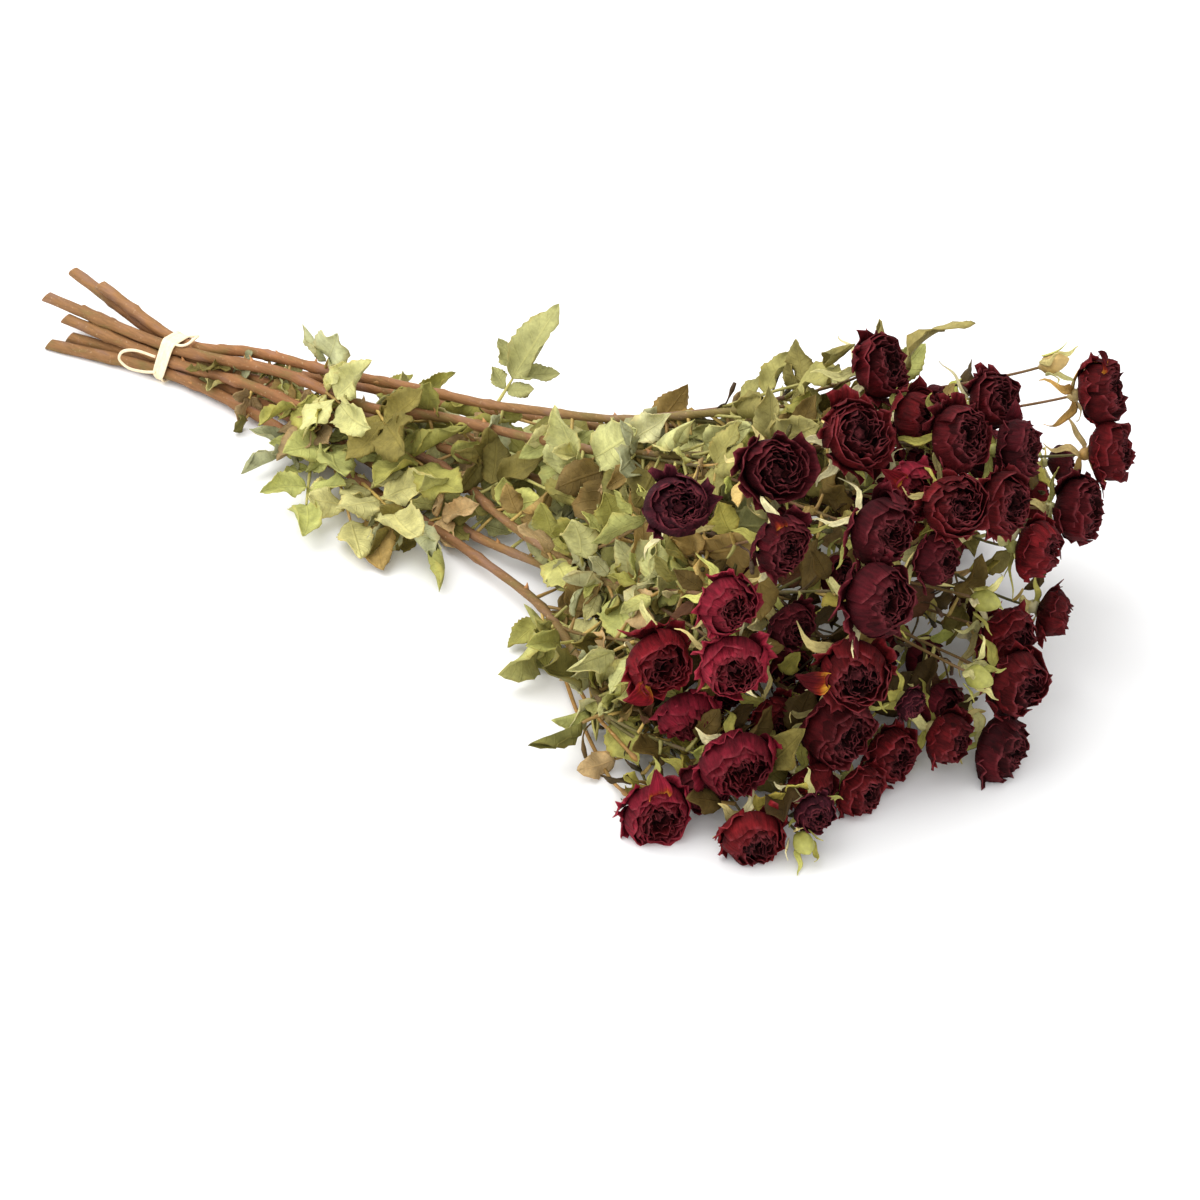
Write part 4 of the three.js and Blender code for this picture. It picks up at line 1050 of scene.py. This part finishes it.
MATH, RANGE, BLEND, NOISE = "ShaderNodeMath", "ShaderNodeMapRange", "ShaderNodeMix", "ShaderNodeTexNoise"
VECTOR, BUMP, PARTS = "ShaderNodeVectorMath", "ShaderNodeBump", "ShaderNodeSeparateXYZ"
ATTRIBUTE, PLACES = "ShaderNodeAttribute", "ShaderNodeTexCoord"
SHADER, OUTPUT = "ShaderNodeBsdfPrincipled", "ShaderNodeOutputMaterial"
PETAL_LONG, PETAL_HALF = 10.0, 7.2  # a usual petal from foot to rim, and half its width
LEAFLET_LONG = 28.0


def add_node(tree, kind, inputs=(), out=0, **settings):
    """Adds a node with its settings, and gives its output of that number or name. inputs gives, for
    a socket's number or name, a value or another node's output, or it lists them in order."""
    new = tree.nodes.new(kind)
    for name, value in settings.items():
        setattr(new, name, value)
    for socket, value in inputs.items() if isinstance(inputs, dict) else enumerate(inputs):
        if isinstance(value, bpy.types.NodeSocket):
            tree.links.new(value, new.inputs[socket])
        else:
            new.inputs[socket].default_value = value
    return new.outputs[out] if len(new.outputs) else None


def new_material(name):
    """An empty material, and what adds nodes to it."""
    material = bpy.data.materials.new(name)
    material.use_nodes = True
    material.node_tree.nodes.clear()
    return material, partial(add_node, material.node_tree)


def per_metre(size):
    """The scale, on coordinates in metres, of a pattern whose grains are size millimetres wide."""
    return 1000 / size


def rgba(code):
    """A colour written #rrggbb for a node's socket."""
    return (*srgb(code), 1.0)


def mottled(add, tint, patterns, shade=1.0):
    """A tint made lighter and darker by patterns and a shade, and the numbers of each pattern. A
    pattern has its coordinates, scale, detail and roughness, and how its numbers become shades."""
    numbers = []
    for where, scale, detail, roughness, *span in patterns:
        grains = {"Vector": where, "Scale": scale, "Detail": detail, "Roughness": roughness}
        numbers.append(add(NOISE, grains))
        one_shade = add(RANGE, [numbers[-1], *span])
        shade = add(MATH, [shade, one_shade], operation="MULTIPLY")
    return add(VECTOR, {0: tint, "Scale": shade}, operation="SCALE"), numbers


def finished(material, add, colour, height, distance, strength, looks):
    """A material with its colour, the relief of height, in metres, and its other looks."""
    normal = add(BUMP, {"Height": height, "Distance": distance, "Strength": strength})
    add(OUTPUT, [add(SHADER, {"Base Color": colour, "Normal": normal, **looks})])
    return material


def dried_petal():
    """Rose petal, dried in the air: the velvet has shrunk to matte paper. The eye sees hardly any
    shine, wrinkles from foot to rim, blotches, and a paler rim in patches, partly worn and partly
    a painted highlight where light catches the edge. Painted shade darkens each petal towards its
    foot, deep in the cup, and the wrinkles' colour is partly painted shade in their creases."""
    material, add = new_material("dried petal")
    tint = add(ATTRIBUTE, out="Color", attribute_name="tint")
    mark = add(ATTRIBUTE, out="Vector", attribute_name="mark")
    where = add(PLACES, out="Object")
    along = add(PARTS, [mark], "X")
    # Wrinkles are 4.5 mm long and 0.8 mm apart, which is coarser than real, so that they show.
    stretched = add(VECTOR, [mark, (PETAL_LONG / 4.5, PETAL_HALF / 0.8, 40)], operation="MULTIPLY")
    # Painted shade: darker towards each petal's foot, deep in the cup, and lighter towards its rim.
    painted_cup_shade = add(RANGE, [along, 0.35, 0.95, 0.65, 1.15])
    # The wrinkles also shade the colour, darker where their relief is low: partly the petal's own streaks and
    # partly painted shade in their creases.
    body, (wrinkles, blotches) = mottled(add, tint, [
        (stretched, 1, 4, 0.6, 0.32, 0.68, 0.5, 1.3),
        (where, per_metre(3.8), 3, 0.55, 0.3, 0.7, 0.75, 1.25),
    ], painted_cup_shade)
    # A paler rim in patches: partly worn, partly a painted highlight where light catches the petal's edge.
    rim = add(RANGE, [along, 0.91, 1.0, 0.0, 0.5])
    rim_wear_and_highlight = add(RANGE, [blotches, 0.35, 0.65])
    rim = add(MATH, [rim, rim_wear_and_highlight], operation="MULTIPLY")
    colour = add(BLEND, {0: rim, 6: body, 7: rgba("#96444a")}, 2, data_type="RGBA")
    looks = {"Roughness": 0.75, "Specular IOR Level": 0.1, "Sheen Weight": 0.03, "Sheen Roughness": 0.5,
             "Sheen Tint": rgba("#b04858")}
    return finished(material, add, colour, wrinkles, 0.0014, 0.8, looks)


def dried_leaf(name, ragged):
    """Rose leaf, dried in the air: thin and brittle, and matte like felt. The eye sees a paler rib
    and side veins, a mottle of green and straw, and edges that have browned, the more so as ragged
    says."""
    material, add = new_material(name)
    tint = add(ATTRIBUTE, out="Color", attribute_name="tint")
    mark = add(ATTRIBUTE, out="Vector", attribute_name="mark")
    where = add(PLACES, out="Object")
    along = add(PARTS, [mark], "X")
    across = add(MATH, [add(PARTS, [mark], "Y")], operation="ABSOLUTE")
    # Side veins leave the rib every 4 mm and slant towards the tip.
    turns = add(MATH, [along, TURN * LEAFLET_LONG / 4], operation="MULTIPLY")
    slant = add(MATH, [across, 8.5], operation="MULTIPLY")
    phase = add(MATH, [turns, slant], operation="SUBTRACT")
    vein = add(RANGE, [add(MATH, [phase], operation="SINE"), 0.86, 1.0, 0.0, 0.55])
    rib = add(RANGE, [across, 0.03, 0.09, 1.0, 0.0])
    veins = add(MATH, [rib, vein], operation="MAXIMUM")
    body, (mottle, _) = mottled(add, tint, [
        (where, per_metre(7.7), 4, 0.55, 0.3, 0.7, 0.8, 1.5),
        (where, per_metre(1.1), 2, 0.55, 0.3, 0.7, 0.9, 1.1),
    ])
    pale = add(VECTOR, [tint, (1.6, 1.55, 1.4)], operation="MULTIPLY")
    browned = add(VECTOR, [tint, (1.1, 0.85, 0.6)], operation="MULTIPLY")
    vein_share = add(MATH, [veins, 0.38], operation="MULTIPLY")
    body = add(BLEND, {0: vein_share, 6: body, 7: pale}, 2, data_type="RGBA")
    patchy = add(RANGE, [mottle, 0.3, 0.7, 0.0, 0.5])
    edge = add(MATH, [across, patchy], operation="ADD")
    edge = add(RANGE, [edge, 1.1, 1.35, 0.0, ragged])
    colour = add(BLEND, {0: edge, 6: body, 7: browned}, 2, data_type="RGBA")
    raised = add(MATH, [veins, 0.6], operation="MULTIPLY")
    dents = add(MATH, [mottle, 1.2], operation="MULTIPLY")
    height = add(MATH, [raised, dents], operation="ADD")
    looks = {"Roughness": 0.7, "Specular IOR Level": 0.15}
    return finished(material, add, colour, height, 0.0007, 0.8, looks)


def woody_bark():
    """Rose wood with its bark on, cut and left to dry: matte and woody. The eye sees fine streaks
    along the stem, patches of mauve and olive brown, and small pale pores."""
    material, add = new_material("woody bark")
    tint = add(ATTRIBUTE, out="Color", attribute_name="tint")
    where = add(PLACES, out="Object")
    # Streaks are 9 mm long and 1.1 mm wide, and patches 22 by 7 mm.
    streaked, patched = (add(VECTOR, [where, tuple(map(per_metre, size))], operation="MULTIPLY")
                         for size in ((9, 1.1, 1.1), (22, 7, 7)))
    body, (streaks, patches) = mottled(add, tint, [
        (streaked, 1, 5, 0.6, 0.3, 0.7, 0.75, 1.2), (patched, 1, 3, 0.55, 0.3, 0.7, 0.8, 1.2),
    ])
    pores = add(NOISE, {"Vector": where, "Scale": per_metre(1.4), "Detail": 1, "Roughness": 0.55})
    # Mauve, olive and pale pores: where each begins, where it is full, how full, and its colour.
    for pattern, begins, full, most, code in ((patches, 0.52, 0.68, 0.5, "#80635a"),
                                              (patches, 0.45, 0.33, 0.5, "#7d6e3a"),
                                              (pores, 0.66, 0.78, 0.45, "#c2a27e")):
        share = add(RANGE, [pattern, begins, full, 0.0, most])
        body = add(BLEND, {0: share, 6: body, 7: rgba(code)}, 2, data_type="RGBA")
    return finished(material, add, body, streaks, 0.0006, 0.6, {"Roughness": 0.7, "Specular IOR Level": 0.3})


def dried_stalk():
    """Green stalk and hip, dried in the air: smooth skin that has shrunk a little. The eye sees a
    faint gloss and a mottle from olive to straw."""
    material, add = new_material("dried stalk")
    tint = add(ATTRIBUTE, out="Color", attribute_name="tint")
    where = add(PLACES, out="Object")
    colour, (mottle,) = mottled(add, tint, [(where, per_metre(2.9), 4, 0.55, 0.3, 0.7, 0.75, 1.25)])
    return finished(material, add, colour, mottle, 0.0004, 0.5, {"Roughness": 0.6})


def natural_rubber():
    """Natural rubber, cut from a moulded tube: cream, with a soft sheen. The eye sees faint cloudy
    marks of a paler and a darker cream."""
    material, add = new_material("natural rubber")
    where = add(PLACES, out="Object")
    clouds = add(NOISE, {"Vector": where, "Scale": per_metre(2), "Detail": 3, "Roughness": 0.55})
    share = add(RANGE, [clouds, 0.3, 0.7])
    creams = {0: share, 6: rgba("#ecd6ae"), 7: rgba("#f4e4c6")}
    colour = add(BLEND, creams, 2, data_type="RGBA")
    return finished(material, add, colour, clouds, 0.0002, 0.4, {"Roughness": 0.5})


def white_board():
    """Matte white board under the bunch: painted, plain and even."""
    material, add = new_material("matte white board")
    add(OUTPUT, [add(SHADER, {"Base Color": (*PALE, 1.0), "Roughness": 0.9})])
    return material


MATERIALS = {
    "petal": dried_petal(), "leaf": dried_leaf("dried leaf", 0.5), "sepal": dried_leaf("dried sepal", 0.9),
    "bark": woody_bark(), "stalk": dried_stalk(), "rubber": natural_rubber(),
}

# ---- Pieces ----

# How far points may reach: the model's box, less room for the thickness of a sheet.
LOW, HIGH = CAD_LOW * 1000 + [0.2, 0.2, 0.25], CAD_HIGH * 1000 - 0.2
EASE = 3  # mm inside a side of the box where points begin to be held back
SHEET = 0.3  # mm: the thickness of a petal or a leaf
# The seeds of each kind of part: the first, and the steps between sprays and between its parts.
ROSE_SEEDS, BUD_SEEDS = (5300, 300, 17), (8300, 300, 17)
LEAF_SEEDS, BRACT_SEEDS = (2000, 400, 23), (7000, 200, 13)  # the model's own, which find its leaves
STEM_SEED, THORN_SEED, BARE_SEED = 900, 700, 40


def held_inside(points):
    """Points kept within the model's box. Past EASE from a side, a point that is d too far goes on by
    EASE * (1 - exp(-d / EASE)) instead. Below, points are pressed flat on the surface."""
    over = np.maximum(points - (HIGH - EASE), 0)
    under = np.maximum(LOW + EASE - points, 0)
    under[:, 2] = 0
    held = points - over + EASE * (1 - np.exp(-over / EASE)) + under - EASE * (1 - np.exp(-under / EASE))
    return np.maximum(held, LOW)


def make_piece(name, gathered, materials, nodes, thick=0.0):
    """One object at the origin from gathered surfaces, held inside the model's box."""
    points = held_inside(np.vstack(gathered.points) + OFFSET) / 1000
    mesh = bpy.data.meshes.new(name)
    mesh.from_pydata(points.tolist(), [], gathered.faces)
    marks = np.vstack(gathered.marks)
    tints = np.hstack([np.vstack(gathered.tints), np.ones((gathered.count, 1))])
    mesh.attributes.new("mark", "FLOAT_VECTOR", "POINT").data.foreach_set("vector", marks.ravel())
    mesh.attributes.new("tint", "FLOAT_COLOR", "POINT").data.foreach_set("color", tints.ravel())
    for material in materials:
        mesh.materials.append(MATERIALS[material])
    mesh.polygons.foreach_set("material_index", gathered.slots)
    mesh.polygons.foreach_set("use_smooth", np.ones(len(mesh.polygons), bool))
    piece = bpy.data.objects.new(name, mesh)
    bpy.context.collection.objects.link(piece)
    if thick:
        solidify = piece.modifiers.new("thickness", "SOLIDIFY")
        solidify.thickness = thick / 1000
        solidify.offset = 0
    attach(piece, "root")
    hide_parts(*nodes)
    return piece


def seed_of(seeds, spray, part):
    """The seed of a part, by its kind's seeds."""
    return seeds[0] + seeds[1] * (spray - 1) + seeds[2] * part


def petals_of(name, centre, forward, radius, lean, seed):
    """The petals of a rose, which has nodded and turned away from where the model's faces."""
    tints = PETAL_BRIGHT if name in BRIGHT_ROSES else PETAL_DEEP
    tints = PETAL_PURPLE if name in PURPLE_ROSES else tints
    nod = np.array([chance(seed + 70 + i) - 0.5 for i in range(3)])
    opened = facing(centre, lean * mix(0.05, 0.6, chance(seed + 74)))
    opened = unit(opened + 0.5 * nod + ROSE_NOD * lean * chance(seed + 75))
    centre = centre + (opened - forward) * radius * 0.36
    petals = Gathered()
    add_petals(petals, centre, opened, radius, seed, tints)
    if name in FALLEN_PETALS:
        add_fallen_petal(petals, centre, opened, radius, seed + 91, FALLEN_PETALS[name], tints)
    return petals


def change_leaf(leaf, longer, wider, pair_share, curled, tilt):
    """Gives a leaf other proportions, and leaves its tip where it is."""
    leaf["long"] *= longer
    leaf["wide"] *= wider
    leaf["pair_share"] = pair_share
    leaf["curl"] += curled
    leaf["face"] = turned(leaf["face"], np.cross(leaf["ahead"], leaf["face"]), tilt)
    leaf["end"] = leaf["root"] + leaf["ahead"] * (leaf["reach"] - leaf["long"])


def dress_spray(number, plan):
    """The wood, leaves, calyxes and roses of one spray, each where the model has it."""
    node = f"spray_{number}"
    corners = corners_of(node)
    stem = spline_of(plan["stem"])
    wood, leaves, calyxes = Gathered(), Gathered(), Gathered()
    add_stem(wood, stem, STEM_SEED * number)
    add_thorns(wood, stem, THORN_SEED * number)
    limbs = [stem]
    roses, buds = plan["roses"], plan["buds"]
    twigs = len(roses) + len(buds)
    forks = [mix(FIRST_FORK, LAST_FORK, k / (twigs - 1)) for k in range(twigs)]
    for k, (*centre, radius, lean) in enumerate(roses):
        name, seed = (number, k + 1), seed_of(ROSE_SEEDS, number, k)
        centre = np.array(centre, float)
        forward = facing(centre, lean)
        foot = centre - forward * (ROSE_FOOT * radius + ROSE_GAP + HIP_DOME + HIP_LONG)
        curve, rings = find_twig(corners, stem, forks[k], foot, forward)
        limbs.append(curve)
        add_twig(wood, curve, seed)
        share, start = sepal_share(corners, foot, forward, rings, radius)
        reach = SEPAL_REACH * radius * max(share, LEAST_SHARE)
        tints = STRAW_TINTS if name in STRAW_HIPS else SEPAL_TINTS
        add_calyx(calyxes, foot, forward, reach, start, seed, tints=tints)
        for spent in range(WIRY_STALKS if number in WIRY_SPRAYS else SPENT_STALKS):
            add_spent_stalk(wood, curve, seed + 60 + 97 * spent)
        petals = petals_of(name, centre, forward, radius, lean, seed)
        if name in SMALL_SPOTS or k % 4 != number % 4:
            add_small_bloom(petals, wood, calyxes, curve, seed + 9000, SMALL_SPOTS.get(name))
        add_upper_leaves(leaves, curve, seed + 3000)
        make_piece(f"petals_{number}_{k + 1}", petals, ["petal"], [f"rose_{number}_{k + 1}"], SHEET)
    for k, (*foot, radius) in enumerate(buds):
        seed = seed_of(BUD_SEEDS, number, k)
        foot = np.array(foot, float)
        forward = facing(foot, BUD_LEAN)
        curve, _ = find_twig(corners, stem, forks[len(roses) + k], foot, forward)
        limbs.append(curve)
        add_twig(wood, curve, seed)
        add_bud(calyxes, foot, forward, radius, seed, DRY_BUD_TINT if number == 1 else BUD_TINT)
    for k, (limb, share, *aim) in enumerate(plan["leaves"]):
        root = place(limbs[limb], share)
        leaf = find_leaf(corners, root, np.array(aim, float), seed_of(LEAF_SEEDS, number, k))
        if leaf is not None:
            if (number, k) in BOLD_LEAVES:
                change_leaf(leaf, *BOLD_LEAVES[number, k])
            own = LEAF_OWN_TINTS.get((number, k))
            add_leaf(leaves, leaf, tints_of(own) if own else LEAF_TINTS)
    for twig in range(1, len(limbs), 3):
        leaf = find_bract(corners, limbs[twig], seed_of(BRACT_SEEDS, number, twig))
        if leaf is not None and under_the_edge(leaf["root"] + leaf["ahead"] * leaf["reach"]):
            add_leaf(leaves, leaf, LEAF_TINTS)
    add_thickets(leaves, stem, number)
    if number in BARE_TWIGS:
        add_bare_twig(wood, BARE_TWIGS[number], BARE_SEED * number)
    make_piece(f"wood_{number}", wood, ["bark"], [node])
    make_piece(f"leaves_{number}", leaves, ["leaf", "stalk"], [node], SHEET)
    make_piece(f"calyxes_{number}", calyxes, ["stalk", "sepal"], [node])


BAND_TURNS = (-3.0, -1.0, 1.1, 3.1)  # where each turn stands along the stems
BAND_HALF, BAND_THICK = 1.4, 0.5  # half the width and half the thickness of a turn
LOOP_RADIUS, TAIL_RADIUS = 0.75, 0.9
RIBBON_ROWS, RIBBON_SIDES = 90, 12
BAND_LOOP = [(-1.5, -10.4, 6), (-7, -13.5, 5.6), (-13, -17, 7), (-17, -18.5, 11), (-15, -17.5, 15.5),
             (-9, -14.5, 17), (-1.5, -9.3, 14)]
BAND_TAIL = [(2, 10.5, 17.5), (5.5, 11.5, 18.5), (8.5, 9.5, 20.6), (9.5, 6, 20.9), (9, 2.5, 19.8),
             (7, 0, 19.2), (3, -1, 19)]


def add_ribbon(gathered, middle):
    """One turn of a flat band round the stems. Its outline is how far the stems reach each way, plus
    their radius; its section is an ellipse across the stems, and it stands at middle along them,
    spread wider on top."""
    stems = np.array([plan["stem"][1][1:] for plan in SPRAYS], float)
    turns = turns_of(RIBBON_ROWS)
    ways = np.stack([np.cos(turns), np.sin(turns)], axis=-1)
    far = stems[(stems @ ways.T).argmax(axis=0)]
    for _ in range(3):
        far = (far + np.roll(far, 1, 0) + np.roll(far, -1, 0)) / 3
    section = turns_of(RIBBON_SIDES)
    spread = mix(0.5, 1.0, (1 + np.sin(turns)) / 2)
    along = (middle + 0.3 * np.sin(2 * turns + middle)) * spread
    push = STEM_THICK + 0.75 + 0.12 * abs(middle) + 0.06 * np.sin(9 * turns + 3 * middle)
    x = along[:, None] + BAND_HALF * spread[:, None] * np.cos(section)
    out = push[:, None] + BAND_THICK * np.sin(section)
    grid = np.stack([x, far[:, :1] + ways[:, :1] * out, far[:, 1:] + ways[:, 1:] * out], axis=-1)
    marks = marks_of(20 * turns[:, None], section / TURN, middle)
    gathered.surface(grid, marks, WHITE, closed=True, looped=True)


def dress_band():
    """The rubber band: four flat turns round the stems, its slack curl and its tail."""
    band = Gathered()
    for middle in BAND_TURNS:
        add_ribbon(band, middle)
    for places, radius in ((BAND_LOOP, LOOP_RADIUS), (BAND_TAIL, TAIL_RADIUS)):
        tube(band, spline_of(places)(np.linspace(0, 1, LOOP_ROWS)), radius, LOOP_SIDES, WHITE, flat=0.7)
    make_piece("band", band, ["rubber"], ["rubber_band"])


for number, plan in enumerate(SPRAYS, 1):
    dress_spray(number, plan)
dress_band()


# ---- Surface, light and camera ----

FLOOR_SIZE = 40  # metres
# The place in metres, the size in metres and the watts of each light.
LIGHTS = {"key": ((-0.7, -0.35, 1.5), 1.9, 28), "fill": ((1.0, -1.2, 0.9), 1.2, 7)}
SENSOR_WIDTH, FAR_END = 36, 60  # mm and metres


def add_floor():
    """The white board that the bunch lies on."""
    bpy.ops.mesh.primitive_plane_add(size=FLOOR_SIZE)
    floor = bpy.context.object
    floor.name = "floor"
    floor.data.materials.append(white_board())
    floor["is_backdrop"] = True


def add_light(name, spot, size, power):
    """A square soft light, turned to the middle of the bunch."""
    data = bpy.data.lights.new(name, "AREA")
    data.size = size
    data.energy = power
    light = bpy.data.objects.new(name, data)
    light.location = spot
    light.rotation_euler = (-Vector(spot)).to_track_quat("-Z", "Y").to_euler()
    bpy.context.collection.objects.link(light)


def add_camera():
    """The camera, at the photograph's place."""
    azimuth, elevation = math.radians(CAMERA["azimuth"]), math.radians(CAMERA["elevation"])
    level = math.cos(elevation)
    back = Vector((math.sin(azimuth) * level, -math.cos(azimuth) * level, math.sin(elevation)))
    data = bpy.data.cameras.new("camera")
    data.lens = CAMERA["lens"]
    data.sensor_width = SENSOR_WIDTH
    data.clip_end = FAR_END
    camera = bpy.data.objects.new("camera", data)
    camera.location = Vector((np.array(AIM) + OFFSET) / 1000) + back * CAMERA["distance"] / 1000
    camera.rotation_euler = (-back).to_track_quat("-Z", "Y").to_euler()
    bpy.context.collection.objects.link(camera)
    bpy.context.scene.camera = camera


def add_world():
    """Even white light from all round."""
    world = bpy.data.worlds.new("studio")
    world.use_nodes = True
    background = world.node_tree.nodes["Background"]
    background.inputs["Color"].default_value = (*WHITE, 1.0)
    background.inputs["Strength"].default_value = 1.0
    bpy.context.scene.world = world


add_floor()
for name, light in LIGHTS.items():
    add_light(name, *light)
add_world()
add_camera()
bpy.context.scene.view_settings.view_transform = "Standard"
